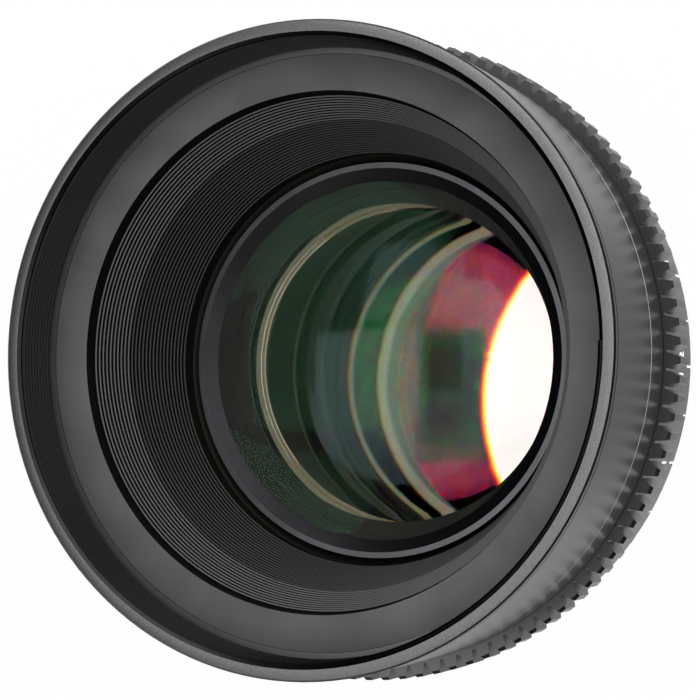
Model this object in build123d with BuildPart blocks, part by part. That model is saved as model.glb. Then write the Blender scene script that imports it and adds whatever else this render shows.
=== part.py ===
# A manual prime lens with two toothed drive rings, built as the assembly that comes apart on a bench.
#
# The lens stands on the rear end of its bayonet, with the optical axis on +Z and the filter thread up.
# The origin is on the axis, at the rear end of the bayonet spigot. Lengths are in millimetres.
# Outlines are written as (radius, depth), where depth is measured down the axis from the front rim.
# Rest is infinity focus with the iris wide open. Angles grow anticlockwise, seen from the front.

from build123d import *
import math
import os

# Overall size
thread_radius = 41.0          # major radius of the M82 x 0.75 filter thread
rim_wall = 2.0                # barrel wall round the thread
flange_depth = 84.0           # front rim to the mounting flange
spigot_length = 5.5           # bayonet behind the flange

# Fits and clearances
running_gap = 0.06            # radial gap of a ring that turns or slides on a sleeve
seat_gap = 0.05               # radial gap of a piece that is screwed or pushed into its seat
axial_gap = 0.1               # end gap beside a ring that turns
contact_gap = 0.02            # between a glass and what holds it
ring_gap = 0.2                # gap that shows between two outer rings
overrun = 0.8                 # how far a cutter runs past the wall it cuts

# Filter thread and name ring
thread_length = 6.9
thread_relief = 0.5
recess_depth = 7.9            # rim to the name ring
ledge_width = 1.05            # narrow land outside the name ring
ledge_rise = 0.05             # the land stands this much ahead of the name ring
name_ring_lip = 1.3           # thickness over the baffle flange
name_ring_skirt = 2.6         # thickness of its threaded edge
name_ring_room = 0.3          # between the name ring and the baffle inside it
name_ring_undercut = 0.2      # its bore narrows by this towards the baffle
mouth_chamfer = 0.4           # inside the rim
rim_chamfer = 0.25            # outside the rim
line_groove = 0.3             # width of the fine lines turned into the barrel
rim_line_depth = 1.2
rear_line_depth = 18.2

# Ribbed baffle
baffle_flange_width = 2.7
baffle_flange_thickness = 2.0
baffle_wall = 1.6
baffle_backing_gap = 0.3      # between the baffle and the bore behind it
front_cone_rise = 2.35
front_cone_length = 6.2
front_ribs = 10
rear_cone_rise = 2.9
rear_cone_length = 11.8
rear_ribs = 16
rib_depth = 0.42
cell_window = 1.05            # open gap round the moving cell

# Drive gears
gear_module = 0.8
pressure_angle = 20.0
tooth_tip = 1.0               # tooth height above the pitch circle, in modules
tooth_root = 1.25             # tooth depth below the pitch circle, in modules
space_narrowing = 0.1         # taken off each flank of a tooth space
gear_rise = 0.4               # tooth roots stand this much above the barrel
gear_width = 5.3
tooth_chamfer = 0.45
iris_teeth = 94

# Focus ring
focus_scale_length = 9.9      # smooth band behind the focus teeth
focus_ring_wall = 2.0
scale_band_drop = 0.1         # band below the tooth roots
focus_web_thickness = 2.1
hub_clearance = 0.6
hub_gap = 0.8                 # baffle end to the end of the rear boss
hub_rise = 3.2                # length of the boss inside the focus ring

# Guide sleeve and focus cam
cell_radius = 28.4            # outside of the sliding lens cell
guide_wall = 2.4
guide_flange_thickness = 2.0
guide_mouth = 1.24            # radial chamfer at the front of the guide bore
guide_mouth_length = 3.6
cam_wall = 2.47
cam_flange_width = 4.6
cam_flange_thickness = 1.7
cam_land = 1.1                # cam wall left at each end of a slot
cam_nut_thickness = 1.2
focus_throw = 150.0           # degrees of focus ring
focus_travel = 7.0            # forward travel of the optics
follower_radius = 1.5
follower_count = 3
follower_first_angle = 30.0
roller_screw_radius = 0.8
roller_screw_bite = 1.9       # screw length inside the cell wall
roller_head_radius = 1.3
roller_head_thickness = 0.7

# Front group
retainer_land = 0.8
retainer_cone_depth = 1.45
retainer_drop = 1.65          # retainer face behind the end of the boss
retainer_body = 1.75
retainer_thread_wall = 0.6
glass_clearance = 1.0         # glass edge beyond the retainer's opening
cell_edge = 1.5               # cell radius beyond the front glass
front_seat_width = 1.5
doublet_inset = 7.5           # cell radius beyond the front doublet
doublet_nut_thickness = 2.0
doublet_nut_wall = 1.5        # nut radius beyond the doublet
doublet_nut_overlap = 0.7
partition_overlap = 4.7       # ledge under the doublet

# Iris
iris_wall = 1.6               # cell wall round the iris
actuator_thickness = 1.8
actuator_pin_radius = 0.8
actuator_pin_angle = 200.0
actuator_pin_room = 0.72      # pin to the cam's retaining ring, at close focus
iris_throw = 60.0             # degrees of iris ring
blade_count = 8
blade_swing = 36.0            # degrees that each blade turns
blade_thickness = 0.2
blade_pitch = 0.3             # one level per blade
blade_pivot_inset = 4.3       # cavity radius beyond the pivot circle
blade_width = 6.15
blade_span = 112.0            # degrees from pivot to tip
blade_lobe_radius = 1.1
blade_lever = 4.0             # pivot to drive pin
blade_lever_angle = -80.0
blade_pivot_radius = 0.5
blade_pin_radius = 0.4
stop_margin = 0.15            # open blades beyond the stop
iris_base_thickness = 1.2
iris_base_step = 0.5          # base radius beyond the cavity

# Rear group
rear_flange_thickness = 2.8
rear_lip_thickness = 1.0
rear_lip_margin = 0.4         # lip opening beyond the ground bowl
rear_cell_wall = 2.75
rear_doublet_radius = 17.5
rear_glass_radius = 18.0
rear_spacer_wall = 0.95
doublet_spacer_wall = 1.35
rear_nut_wall = 1.6
rear_nut_overlap = 1.2
rear_nut_thickness = 1.4
rear_nut_recess = 0.4

# Glass: centre thicknesses, and radii of curvature that are plus where the middle stands forward
front_curve, front_glass, front_back_curve = 52.0, 7.2, 280.0
second_curve, second_glass, front_cement_curve = 26.9, 7.6, 64.0
third_glass, third_back_curve, third_bowl = 2.3, 22.3, 15.6
fourth_curve, fourth_bowl, fourth_glass, rear_cement_curve = -22.4, 14.8, 1.8, -280.0
fifth_glass, fifth_back_curve = 7.0, -26.6
sixth_curve, sixth_glass, sixth_back_curve = -56.0, 3.4, -32.9
rear_curve, rear_glass, rear_back_curve = -600.0, 2.9, 104.0
front_air, fifth_air, sixth_air = 0.5, 0.3, 0.2

# Rear housing and iris ring
journal_wall = 1.4
journal_clearance = 0.5       # journal above the fork's inner part
fork_clearance = 0.64         # fork above the guide sleeve
fork_width = 9.0
fork_thickness = 2.0          # fork under the journal
fork_end = 4.0                # solid end behind the fork's slot
fork_end_gap = 0.5            # fork to the cam's retaining ring
fork_spare_angle = 1.0        # degrees left beside the fork at each end of its travel
fork_screw_radius = 0.7
fork_screw_offset = 2.7
fork_screw_bite = 2.2
fork_head_radius = 1.3
fork_head_thickness = 0.8
fork_head_recess = 0.4
iris_band_length = 5.5
iris_groove_width = 0.8
iris_tail_length = 1.3
iris_neck_drop = 0.3          # groove and tail below the tooth roots
iris_ring_lead = 6.2          # front of the iris ring ahead of the drive pin
ring_edge = 0.3               # chamfer on the edges of the scale bands
index_gap = 0.3
index_drop = 0.7              # index ring below the focus scale
index_taper = 2.7
index_lip_length = 2.5
index_lip_wall = 1.6
index_seat_length = 4.4
journal_lead = 1.5            # journal ahead of the index ring's seat
rear_barrel_radius = 37.4
rear_barrel_land = 4.8
rear_barrel_tail = 33.2
rear_bore_radius = 31.0
rear_ledge_radius = 27.5
rear_ledge_thickness = 2.6
rear_web_thickness = 1.2
rear_end_thickness = 5.0

# Bayonet
mount_radius = 33.0
mount_plate = 3.0
mount_pilot_length = 2.0
mount_chamfer = 0.4
spigot_radius = 25.6
spigot_wall = 2.4
spigot_chamfer = 0.3
lug_height = 1.3
lug_thickness = 1.4
lug_setback = 2.6
lug_span = 58.0
lug_count = 3
pilot_gap = 0.9               # pilot beyond the spigot
mount_screw_circle = 29.6
lock_hole_radius = 1.4
lock_hole_depth = 2.0
lock_hole_angle = 100.0
guard_recess = 1.8
guard_thickness = 1.2
guard_step = 1.0              # guard edge beyond the spigot bore
guard_rim_wall = 1.6
guard_rim_length = 2.0
guard_opening = 14.55

# Screws
screw_radius = 0.8
screw_head_radius = 1.5
screw_head_thickness = 1.2
screw_count = 4
screw_first_angle = 45.0      # of the guide and mount screws
cam_screw_first_angle = 0.0
screw_tip_gap = 0.2           # screw tip to the bottom of its hole
guide_screw_inset = 2.6       # from the edge of the boss
guide_screw_length = 3.6
cam_screw_inset = 2.1
mount_screw_length = 3.5
grub_count = 3
grub_first_angle = 90.0
grub_radius = 1.0
grub_setback = 3.0
grub_recess = 0.4


def sag(curve, radius):
    """How far a face of this curvature falls back from its middle to this radius."""
    return curve - math.copysign(math.sqrt(curve ** 2 - radius ** 2), curve)


def rest_ahead(vertex, curve, inner, outer):
    """Depth at which a flat ring ahead of a curved face comes to rest on it."""
    return vertex + min(sag(curve, inner), sag(curve, outer)) - contact_gap


def rest_behind(vertex, curve, inner, outer):
    """Depth at which a flat ring behind a curved face comes to rest on it."""
    return vertex + max(sag(curve, inner), sag(curve, outer)) + contact_gap


# Heights and radii at the front
front_height = flange_depth + spigot_length
rim_radius = thread_radius + rim_wall
seat_radius = thread_radius - ledge_width
baffle_end_radius = cell_radius + cell_window
baffle_step_radius = baffle_end_radius + rear_cone_rise
baffle_mouth_radius = baffle_step_radius + front_cone_rise
baffle_flange_radius = baffle_mouth_radius + baffle_flange_width
baffle_depth = recess_depth + name_ring_lip
baffle_seat_depth = baffle_depth + baffle_flange_thickness
baffle_step_depth = baffle_depth + front_cone_length
baffle_end_depth = baffle_step_depth + rear_cone_length
hub_depth = baffle_end_depth + hub_gap
focus_gear_depth = hub_depth - hub_rise

# Guide, cam and focus ring
slot_width = 2 * (follower_radius + running_gap)
guide_bore = cell_radius + running_gap
guide_radius = guide_bore + guide_wall
guide_flange_depth = hub_depth + guide_flange_thickness
cam_bore = guide_radius + running_gap
cam_radius = cam_bore + cam_wall
cam_depth = guide_flange_depth + axial_gap
cam_flange_radius = cam_radius + cam_flange_width
hub_radius = cam_flange_radius
focus_web_depth = cam_depth + cam_flange_thickness
focus_web_end = focus_web_depth + focus_web_thickness
follower_depth = focus_web_depth + cam_land + slot_width / 2 + focus_travel
cam_end_depth = follower_depth + slot_width / 2 + cam_land
cam_nut_end = cam_end_depth + axial_gap + cam_nut_thickness
lead = focus_travel * 360 / focus_throw
focus_teeth = math.ceil(round(2 * (rim_radius + gear_rise) / gear_module + 2 * tooth_root, 3))
focus_root_radius = gear_module * (focus_teeth / 2 - tooth_root)
scale_band_radius = focus_root_radius - scale_band_drop
focus_gear_end = focus_gear_depth + gear_width
focus_ring_end = focus_gear_end + focus_scale_length
focus_bore = hub_radius + hub_clearance
focus_skirt_bore = scale_band_radius - focus_ring_wall

# Front group
retainer_depth = hub_depth + retainer_drop
front_glass_radius = cell_radius - cell_edge
glass_clear_radius = front_glass_radius - glass_clearance
retainer_edge_depth = retainer_depth + retainer_cone_depth
retainer_body_end = retainer_depth + retainer_body
front_vertex = retainer_edge_depth + contact_gap - sag(front_curve, glass_clear_radius)
front_back = front_vertex + front_glass
front_seat_bore = front_glass_radius - front_seat_width
front_seat_depth = rest_behind(front_back, front_back_curve, front_seat_bore, front_glass_radius)
doublet_radius = cell_radius - doublet_inset
second_vertex = front_back + front_air
second_back = second_vertex + second_glass
third_vertex = second_back + contact_gap
third_back = third_vertex + third_glass
doublet_seat_depth = third_back + sag(third_back_curve, third_bowl) + contact_gap
doublet_nut_bore = doublet_radius - doublet_nut_overlap
doublet_nut_end = rest_ahead(second_vertex, second_curve, doublet_nut_bore, doublet_radius)
doublet_nut_depth = doublet_nut_end - doublet_nut_thickness

# Iris
actuator_pin_depth = cam_nut_end + actuator_pin_room + actuator_pin_radius + focus_travel
actuator_depth = actuator_pin_depth - actuator_thickness / 2
iris_cavity_radius = cell_radius - iris_wall
blade_pivot_circle = iris_cavity_radius - blade_pivot_inset
blade_outer_radius = blade_pivot_circle - blade_pivot_radius - axial_gap
blade_inner_radius = blade_outer_radius - blade_width
stop_radius = blade_inner_radius - stop_margin
blade_stack_depth = actuator_depth + actuator_thickness + axial_gap
iris_base_depth = blade_stack_depth + blade_count * blade_pitch + axial_gap
iris_base_radius = iris_cavity_radius + iris_base_step

# Rear group
rear_flange_depth = iris_base_depth + iris_base_thickness
cell_end_depth = rear_flange_depth + rear_flange_thickness
rear_seat_depth = rear_flange_depth + rear_lip_thickness
fourth_vertex = rear_seat_depth + contact_gap - sag(fourth_curve, fourth_bowl)
fourth_back = fourth_vertex + fourth_glass
fifth_vertex = fourth_back + contact_gap
fifth_back = fifth_vertex + fifth_glass
doublet_spacer_bore = rear_glass_radius - doublet_spacer_wall
air_spacer_bore = rear_glass_radius - rear_spacer_wall
rear_step_depth = rest_behind(fifth_back, fifth_back_curve, doublet_spacer_bore, rear_doublet_radius)
sixth_vertex = fifth_back + fifth_air
sixth_back = sixth_vertex + sixth_glass
rear_vertex = sixth_back + sixth_air
rear_back = rear_vertex + rear_glass
rear_cell_radius = rear_glass_radius + seat_gap + rear_cell_wall
rear_nut_bore = rear_glass_radius - rear_nut_overlap
rear_nut_radius = rear_glass_radius + rear_nut_wall
rear_nut_depth = rest_behind(rear_back, rear_back_curve, rear_nut_bore, rear_glass_radius)
rear_cell_end = rear_nut_depth + rear_nut_thickness + rear_nut_recess

# Rear housing and iris ring
fork_inner_radius = guide_radius + fork_clearance
journal_bore = fork_inner_radius + fork_thickness + journal_clearance
journal_radius = journal_bore + journal_wall
iris_bore = journal_radius + running_gap
iris_tip_radius = gear_module * (iris_teeth / 2 + tooth_tip)
iris_root_radius = gear_module * (iris_teeth / 2 - tooth_root)
iris_neck_radius = iris_root_radius - iris_neck_drop
iris_ring_depth = actuator_pin_depth - iris_ring_lead
iris_band_end = iris_ring_depth + iris_band_length
iris_gear_depth = iris_band_end + iris_groove_width
iris_gear_end = iris_gear_depth + gear_width
iris_ring_end = iris_gear_end + iris_tail_length
fork_depth = cam_nut_end + fork_end_gap
fork_slot_end = actuator_pin_depth + actuator_pin_radius + 3 * axial_gap
fork_end_depth = fork_slot_end + fork_end
index_depth = focus_ring_end + index_gap
index_end_depth = iris_ring_depth - ring_gap
index_seat_depth = index_end_depth - index_seat_length
journal_depth = index_seat_depth - journal_lead
rear_barrel_depth = iris_ring_end + ring_gap
rear_barrel_knee = rear_barrel_depth + rear_barrel_land
guide_end_depth = rear_barrel_knee
rear_barrel_end = flange_depth - mount_plate
spigot_bore = spigot_radius - spigot_wall
pilot_radius = spigot_radius + pilot_gap


def height(depth):
    """Height above the base of a station given as a depth behind the rim."""
    return front_height - depth


def write(builder, label):
    """Name a finished piece and write it to its own file."""
    builder.part.label = label
    export_step(builder.part, f"parts/{label}.step")


def turn(outline):
    """Turn a closed outline of (radius, depth) points about the optical axis."""
    with BuildSketch(Plane.XZ) as section:
        with BuildLine():
            Polyline(*[(radius, height(depth)) for radius, depth in outline], close=True)
        make_face()
    revolve(section.sketch, axis=Axis.Z)


def tube(inner, outer, top, bottom):
    """Plain ring between two radii and two depths."""
    turn([(inner, top), (outer, top), (outer, bottom), (inner, bottom)])


def across(depth, angle=0.0):
    """Plane square to the axis at a depth, with its X axis turned to an angle."""
    return Plane(
        origin=(0, 0, height(depth)),
        x_dir=(math.cos(math.radians(angle)), math.sin(math.radians(angle)), 0),
        z_dir=(0, 0, 1),
    )


def along(angle, depth, radius):
    """Plane that faces outwards along a radius, with its Y axis up."""
    direction = Vector(math.cos(math.radians(angle)), math.sin(math.radians(angle)), 0)
    return Plane(
        origin=direction * radius + Vector(0, 0, height(depth)),
        x_dir=(-direction.Y, direction.X, 0),
        z_dir=direction,
    )


def radial_rod(angle, depth, radius, inner, outer, mode=Mode.ADD, aside=0.0):
    """Round rod or hole that lies along a radius, from one distance to another."""
    with BuildSketch(along(angle, depth, inner)) as end:
        with Locations((aside, 0)):
            Circle(radius)
    extrude(end.sketch, amount=outer - inner, mode=mode)


def axial_rods(count, circle, radius, top, bottom, first=0.0, mode=Mode.ADD):
    """Ring of round rods or holes parallel to the axis, between two depths."""
    with BuildSketch(across(bottom)) as ends:
        with PolarLocations(circle, count, start_angle=first):
            Circle(radius)
    extrude(ends.sketch, amount=bottom - top, mode=mode)


def axial_screws(circle, face, tip, first):
    """Cheese head screws driven forwards, with their heads just inside a rear face."""
    head_end = face - screw_head_thickness
    axial_rods(screw_count, circle, screw_head_radius, head_end, face, first)
    axial_rods(screw_count, circle, screw_radius, tip + screw_tip_gap, head_end, first)


def screw_holes(circle, face, tip, first):
    """Counterbored holes for the screws above."""
    head_end = face - screw_head_thickness
    axial_rods(screw_count, circle, screw_head_radius + seat_gap, head_end, face, first, Mode.SUBTRACT)
    axial_rods(screw_count, circle, screw_radius + seat_gap, tip, face, first, Mode.SUBTRACT)


def fan(start, end, reach):
    """Pie slice from the axis out to at least a radius."""
    steps = 4
    angles = [math.radians(start + (end - start) * step / steps) for step in range(steps + 1)]
    edge = reach / math.cos((angles[1] - angles[0]) / 2)
    Polygon((0, 0), *[(edge * math.cos(angle), edge * math.sin(angle)) for angle in angles], align=None)


def wall_window(start, end, wall_bore, wall_radius, top, bottom):
    """Cut a window through a sleeve wall, between two angles and two depths."""
    with BuildSketch(across(bottom)) as window:
        fan(start, end, wall_radius + overrun)
        Circle(wall_bore - overrun, mode=Mode.SUBTRACT)
    extrude(window.sketch, amount=bottom - top, mode=Mode.SUBTRACT)


def gear_rim(teeth, bore, top, bottom):
    """Rim of a drive gear before its teeth are cut: a flat for each tooth, chamfered at both ends."""
    tip = gear_module * (teeth / 2 + tooth_tip)
    edge = tip - tooth_chamfer
    stations = [(bottom, edge), (bottom - tooth_chamfer, tip), (top + tooth_chamfer, tip), (top, edge)]
    faces = []
    for depth, reach in stations:
        with BuildSketch(across(depth)) as outline:
            RegularPolygon(reach, teeth, major_radius=False)
            Circle(bore, mode=Mode.SUBTRACT)
        faces.append(outline.sketch.face())
    for behind, ahead in zip(faces, faces[1:]):
        loft([behind, ahead], ruled=True)


def cut_teeth(teeth, top, bottom):
    """Cut the straight-flanked spaces of a drive gear between two depths."""
    pitch_radius = gear_module * teeth / 2
    root = pitch_radius - tooth_root * gear_module
    outer = pitch_radius + tooth_root * gear_module
    half_width = math.pi * gear_module / 4 - space_narrowing
    slope = math.tan(math.radians(pressure_angle))
    root_half = half_width - (pitch_radius - root) * slope
    outer_half = half_width + (outer - pitch_radius) * slope
    space = [(root, -root_half), (outer, -outer_half), (outer, outer_half), (root, root_half)]
    with BuildSketch(across(bottom)) as spaces:
        with PolarLocations(0, teeth):
            Polygon(*space, align=None)
    extrude(spaces.sketch, amount=bottom - top, mode=Mode.SUBTRACT)


def turned_line(radius, depth):
    """Three points of a fine V line turned into an outside surface."""
    half = line_groove / 2
    return [(radius, depth - half), (radius - half, depth), (radius, depth + half)]


def follower_angles():
    """Angles of the cam followers round the axis."""
    return [follower_first_angle + index * 360 / follower_count for index in range(follower_count)]


def front_barrel():
    """Outer barrel with the filter thread bore, two turned lines and the boss at its rear."""
    ledge_depth = recess_depth - ledge_rise
    relief = thread_radius + thread_relief
    skirt_end = recess_depth + name_ring_skirt + axial_gap
    room = baffle_flange_radius + seat_gap
    backing = baffle_wall + baffle_backing_gap
    barrel_end = focus_gear_depth - ring_gap
    hole_top = hub_depth - guide_screw_length
    with BuildPart() as barrel:
        turn([
            (thread_radius + mouth_chamfer, 0),
            (rim_radius - rim_chamfer, 0),
            (rim_radius, rim_chamfer),
            *turned_line(rim_radius, rim_line_depth),
            *turned_line(rim_radius, rear_line_depth),
            (rim_radius, barrel_end),
            (hub_radius, barrel_end),
            (hub_radius, hub_depth),
            (baffle_end_radius + backing, hub_depth),
            (baffle_end_radius + backing, baffle_end_depth),
            (baffle_step_radius + backing, baffle_step_depth),
            (baffle_mouth_radius + backing, baffle_seat_depth),
            (room, baffle_seat_depth),
            (room, skirt_end),
            (seat_radius, skirt_end),
            (seat_radius, ledge_depth),
            (relief, ledge_depth),
            (relief, thread_length),
            (thread_radius, thread_length),
            (thread_radius, mouth_chamfer),
        ])
        axial_rods(screw_count, hub_radius - guide_screw_inset, screw_radius + seat_gap,
                   hole_top, hub_depth, screw_first_angle, Mode.SUBTRACT)
    write(barrel, "front_barrel")


def name_ring():
    """Wide flat ring that clamps the baffle, bare of any lettering."""
    outer = seat_radius - seat_gap
    bore = baffle_mouth_radius + name_ring_room
    skirt_bore = baffle_flange_radius + name_ring_room
    skirt_end = recess_depth + name_ring_skirt
    with BuildPart() as ring:
        turn([
            (bore, recess_depth),
            (outer, recess_depth),
            (outer, skirt_end),
            (skirt_bore, skirt_end),
            (skirt_bore, baffle_depth),
            (bore - name_ring_undercut, baffle_depth),
        ])
    write(ring, "name_ring")


def ribs(count, start, end):
    """Saw edge of a cone: a crest and a root for each rib between two (radius, depth) points."""
    points = []
    for index in range(count):
        for share, cut in ((index / count, 0.0), ((index + 0.5) / count, rib_depth)):
            radius = start[0] + (end[0] - start[0]) * share + cut
            points.append((radius, start[1] + (end[1] - start[1]) * share))
    return points


def ribbed_baffle():
    """Light baffle in two cones, each ribbed from its mouth to its end."""
    mouth = (baffle_mouth_radius, baffle_depth)
    step = (baffle_step_radius, baffle_step_depth)
    end = (baffle_end_radius, baffle_end_depth)
    with BuildPart() as baffle:
        turn([
            *ribs(front_ribs, mouth, step),
            *ribs(rear_ribs, step, end),
            end,
            (baffle_end_radius + baffle_wall, baffle_end_depth),
            (baffle_step_radius + baffle_wall, baffle_step_depth),
            (baffle_mouth_radius + baffle_wall, baffle_seat_depth),
            (baffle_flange_radius, baffle_seat_depth),
            (baffle_flange_radius, baffle_depth),
        ])
    write(baffle, "ribbed_baffle")


def guide_sleeve():
    """Fixed inner sleeve with three straight slots and the window for the iris drive pin."""
    screw_circle = hub_radius - guide_screw_inset
    hole_top = hub_depth - guide_screw_length
    mouth_end = hub_depth + guide_mouth_length
    window_margin = math.degrees((actuator_pin_radius + 3 * axial_gap) / guide_bore)
    window_room = actuator_pin_radius + 2 * axial_gap
    with BuildPart() as guide:
        turn([
            (guide_bore + guide_mouth, hub_depth),
            (hub_radius, hub_depth),
            (hub_radius, guide_flange_depth),
            (guide_radius, guide_flange_depth),
            (guide_radius, guide_end_depth),
            (guide_bore, guide_end_depth),
            (guide_bore, mouth_end),
            (guide_bore + guide_mouth, mouth_end - guide_mouth),
        ])
        for angle in follower_angles():
            with BuildSketch(along(angle, follower_depth - focus_travel / 2, guide_bore - overrun)):
                SlotCenterToCenter(focus_travel, slot_width, rotation=90)
            extrude(amount=guide_wall + 2 * overrun, mode=Mode.SUBTRACT)
        wall_window(
            actuator_pin_angle - window_margin,
            actuator_pin_angle + iris_throw + window_margin,
            guide_bore,
            guide_radius,
            actuator_pin_depth - focus_travel - window_room,
            actuator_pin_depth + window_room,
        )
        screw_holes(screw_circle, guide_flange_depth, hole_top, screw_first_angle)
    write(guide, "guide_sleeve")
    with BuildPart() as screws:
        axial_screws(screw_circle, guide_flange_depth, hole_top, screw_first_angle)
    write(screws, "guide_screws")


def focus_cam():
    """Cam sleeve whose three helical slots drive the followers along the straight slots."""
    screw_circle = cam_flange_radius - cam_screw_inset
    # The sleeve turns under still followers, so a slot winds backwards as it climbs.
    with BuildLine() as slot_path:
        Helix(pitch=lead, height=focus_travel, radius=cam_bore + cam_wall / 2, lefthand=True)
    slot_start = Plane(origin=slot_path.line @ 0, x_dir=(1, 0, 0), z_dir=slot_path.line % 0)
    with BuildSketch(slot_start) as slot_section:
        Rectangle(cam_wall + 2 * overrun, slot_width)
    with BuildPart() as cam:
        turn([
            (cam_bore, cam_depth),
            (cam_flange_radius, cam_depth),
            (cam_flange_radius, focus_web_depth),
            (cam_radius, focus_web_depth),
            (cam_radius, cam_end_depth),
            (cam_bore, cam_end_depth),
        ])
        for angle in follower_angles():
            place = Location((0, 0, height(follower_depth)), (0, 0, angle))
            sweep(slot_section.sketch.moved(place), path=slot_path.line.moved(place),
                  is_frenet=True, mode=Mode.SUBTRACT)
            for turned, climbed in ((0.0, 0.0), (focus_throw, focus_travel)):
                radial_rod(angle - turned, follower_depth - climbed, slot_width / 2,
                           cam_bore - overrun, cam_radius + overrun, Mode.SUBTRACT)
        axial_rods(screw_count, screw_circle, screw_radius + seat_gap, cam_depth,
                   focus_web_depth, cam_screw_first_angle, Mode.SUBTRACT)
    write(cam, "focus_cam")
    with BuildPart() as nut:
        tube(guide_radius + seat_gap, cam_radius, cam_end_depth + axial_gap, cam_nut_end)
    write(nut, "cam_retaining_ring")


def focus_ring():
    """Focus ring: drive gear in front, smooth scale band behind, web inside onto the cam."""
    screw_circle = cam_flange_radius - cam_screw_inset
    web_bore = cam_radius + seat_gap
    with BuildPart() as ring:
        turn([
            (focus_bore, focus_gear_end),
            (scale_band_radius, focus_gear_end),
            (scale_band_radius, focus_ring_end - ring_edge),
            (scale_band_radius - ring_edge, focus_ring_end),
            (focus_skirt_bore, focus_ring_end),
            (focus_skirt_bore, focus_web_end),
            (web_bore, focus_web_end),
            (web_bore, focus_web_depth),
            (focus_bore, focus_web_depth),
        ])
        gear_rim(focus_teeth, focus_bore, focus_gear_depth, focus_gear_end)
        cut_teeth(focus_teeth, focus_gear_depth, focus_gear_end)
        screw_holes(screw_circle, focus_web_end, focus_web_depth, cam_screw_first_angle)
    write(ring, "focus_ring")
    with BuildPart() as screws:
        axial_screws(screw_circle, focus_web_end, cam_depth, cam_screw_first_angle)
    write(screws, "focus_drive_screws")


def front_retainer():
    """Threaded ring that holds the front glass, with a flat land and an inner cone."""
    skirt_bore = front_glass_radius + seat_gap
    skirt_radius = skirt_bore + retainer_thread_wall
    skirt_end = front_seat_depth - axial_gap
    glass_edge = front_vertex + sag(front_curve, front_glass_radius) - contact_gap
    with BuildPart() as retainer:
        turn([
            (glass_clear_radius, retainer_edge_depth),
            (cell_radius - retainer_land, retainer_depth),
            (cell_radius, retainer_depth),
            (cell_radius, retainer_body_end),
            (skirt_radius, retainer_body_end),
            (skirt_radius, skirt_end),
            (skirt_bore, skirt_end),
            (skirt_bore, glass_edge),
        ])
    write(retainer, "front_retainer")


def front_cell():
    """Sliding cell that carries both glass groups and houses the iris."""
    front_end = retainer_body_end + contact_gap
    retainer_bore = front_glass_radius + retainer_thread_wall + 2 * seat_gap
    nut_bore = doublet_radius + doublet_nut_wall + seat_gap
    nut_seat = doublet_nut_end + contact_gap
    partition_end = actuator_depth - axial_gap
    partition_bore = doublet_radius - partition_overlap
    base_bore = iris_base_radius + seat_gap
    slot_margin = math.degrees((actuator_pin_radius + 2 * axial_gap) / iris_cavity_radius)
    slot_room = actuator_pin_radius + axial_gap
    with BuildPart() as cell:
        turn([
            (retainer_bore, front_end),
            (cell_radius, front_end),
            (cell_radius, cell_end_depth),
            (base_bore, cell_end_depth),
            (base_bore, iris_base_depth),
            (iris_cavity_radius, iris_base_depth),
            (iris_cavity_radius, partition_end),
            (partition_bore, partition_end),
            (partition_bore, doublet_seat_depth),
            (doublet_radius + seat_gap, doublet_seat_depth),
            (doublet_radius + seat_gap, nut_seat),
            (nut_bore, nut_seat),
            (nut_bore, doublet_nut_depth),
            (front_seat_bore, doublet_nut_depth),
            (front_seat_bore, front_seat_depth),
            (retainer_bore, front_seat_depth),
        ])
        for angle in follower_angles():
            radial_rod(angle, follower_depth, roller_screw_radius + seat_gap,
                       cell_radius - roller_screw_bite - screw_tip_gap, cell_radius + overrun,
                       Mode.SUBTRACT)
        wall_window(
            actuator_pin_angle - slot_margin,
            actuator_pin_angle + iris_throw + slot_margin,
            iris_cavity_radius,
            cell_radius,
            actuator_pin_depth - slot_room,
            actuator_pin_depth + slot_room,
        )
    write(cell, "front_cell")
    with BuildPart() as nut:
        tube(doublet_nut_bore, doublet_radius + doublet_nut_wall, doublet_nut_depth, doublet_nut_end)
    write(nut, "doublet_nut")


def cam_followers():
    """Three rollers on shouldered screws, which run in both sets of slots."""
    roller_start = cell_radius + contact_gap
    roller_end = cam_radius - roller_head_thickness - axial_gap
    head_start = roller_end + contact_gap
    with BuildPart() as rollers:
        for angle in follower_angles():
            radial_rod(angle, follower_depth, follower_radius, roller_start, roller_end)
            radial_rod(angle, follower_depth, roller_screw_radius + seat_gap,
                       roller_start, roller_end, Mode.SUBTRACT)
    write(rollers, "cam_rollers")
    with BuildPart() as screws:
        for angle in follower_angles():
            radial_rod(angle, follower_depth, roller_screw_radius,
                       cell_radius - roller_screw_bite, head_start)
            radial_rod(angle, follower_depth, roller_head_radius,
                       head_start, head_start + roller_head_thickness)
    write(screws, "roller_screws")


def glass(label, radius, front, front_bend, back, back_bend, front_bowl=None, back_bowl=None):
    """Ground glass between two domes; a bowl is narrower than the glass, with a flat round it."""
    front_edge = front_bowl or radius
    back_edge = back_bowl or radius
    front_rim = height(front + sag(front_bend, front_edge))
    back_rim = height(back + sag(back_bend, back_edge))
    with BuildPart() as element:
        with BuildSketch(Plane.XZ):
            with BuildLine():
                ThreePointArc(
                    (0, height(front)),
                    (front_edge / 2, height(front + sag(front_bend, front_edge / 2))),
                    (front_edge, front_rim),
                )
                if front_bowl:
                    Line((front_edge, front_rim), (radius, front_rim))
                Line((radius, front_rim), (radius, back_rim))
                if back_bowl:
                    Line((radius, back_rim), (back_edge, back_rim))
                ThreePointArc(
                    (back_edge, back_rim),
                    (back_edge / 2, height(back + sag(back_bend, back_edge / 2))),
                    (0, height(back)),
                )
                Line((0, height(back)), (0, height(front)))
            make_face()
        revolve(axis=Axis.Z)
    write(element, label)


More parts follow.
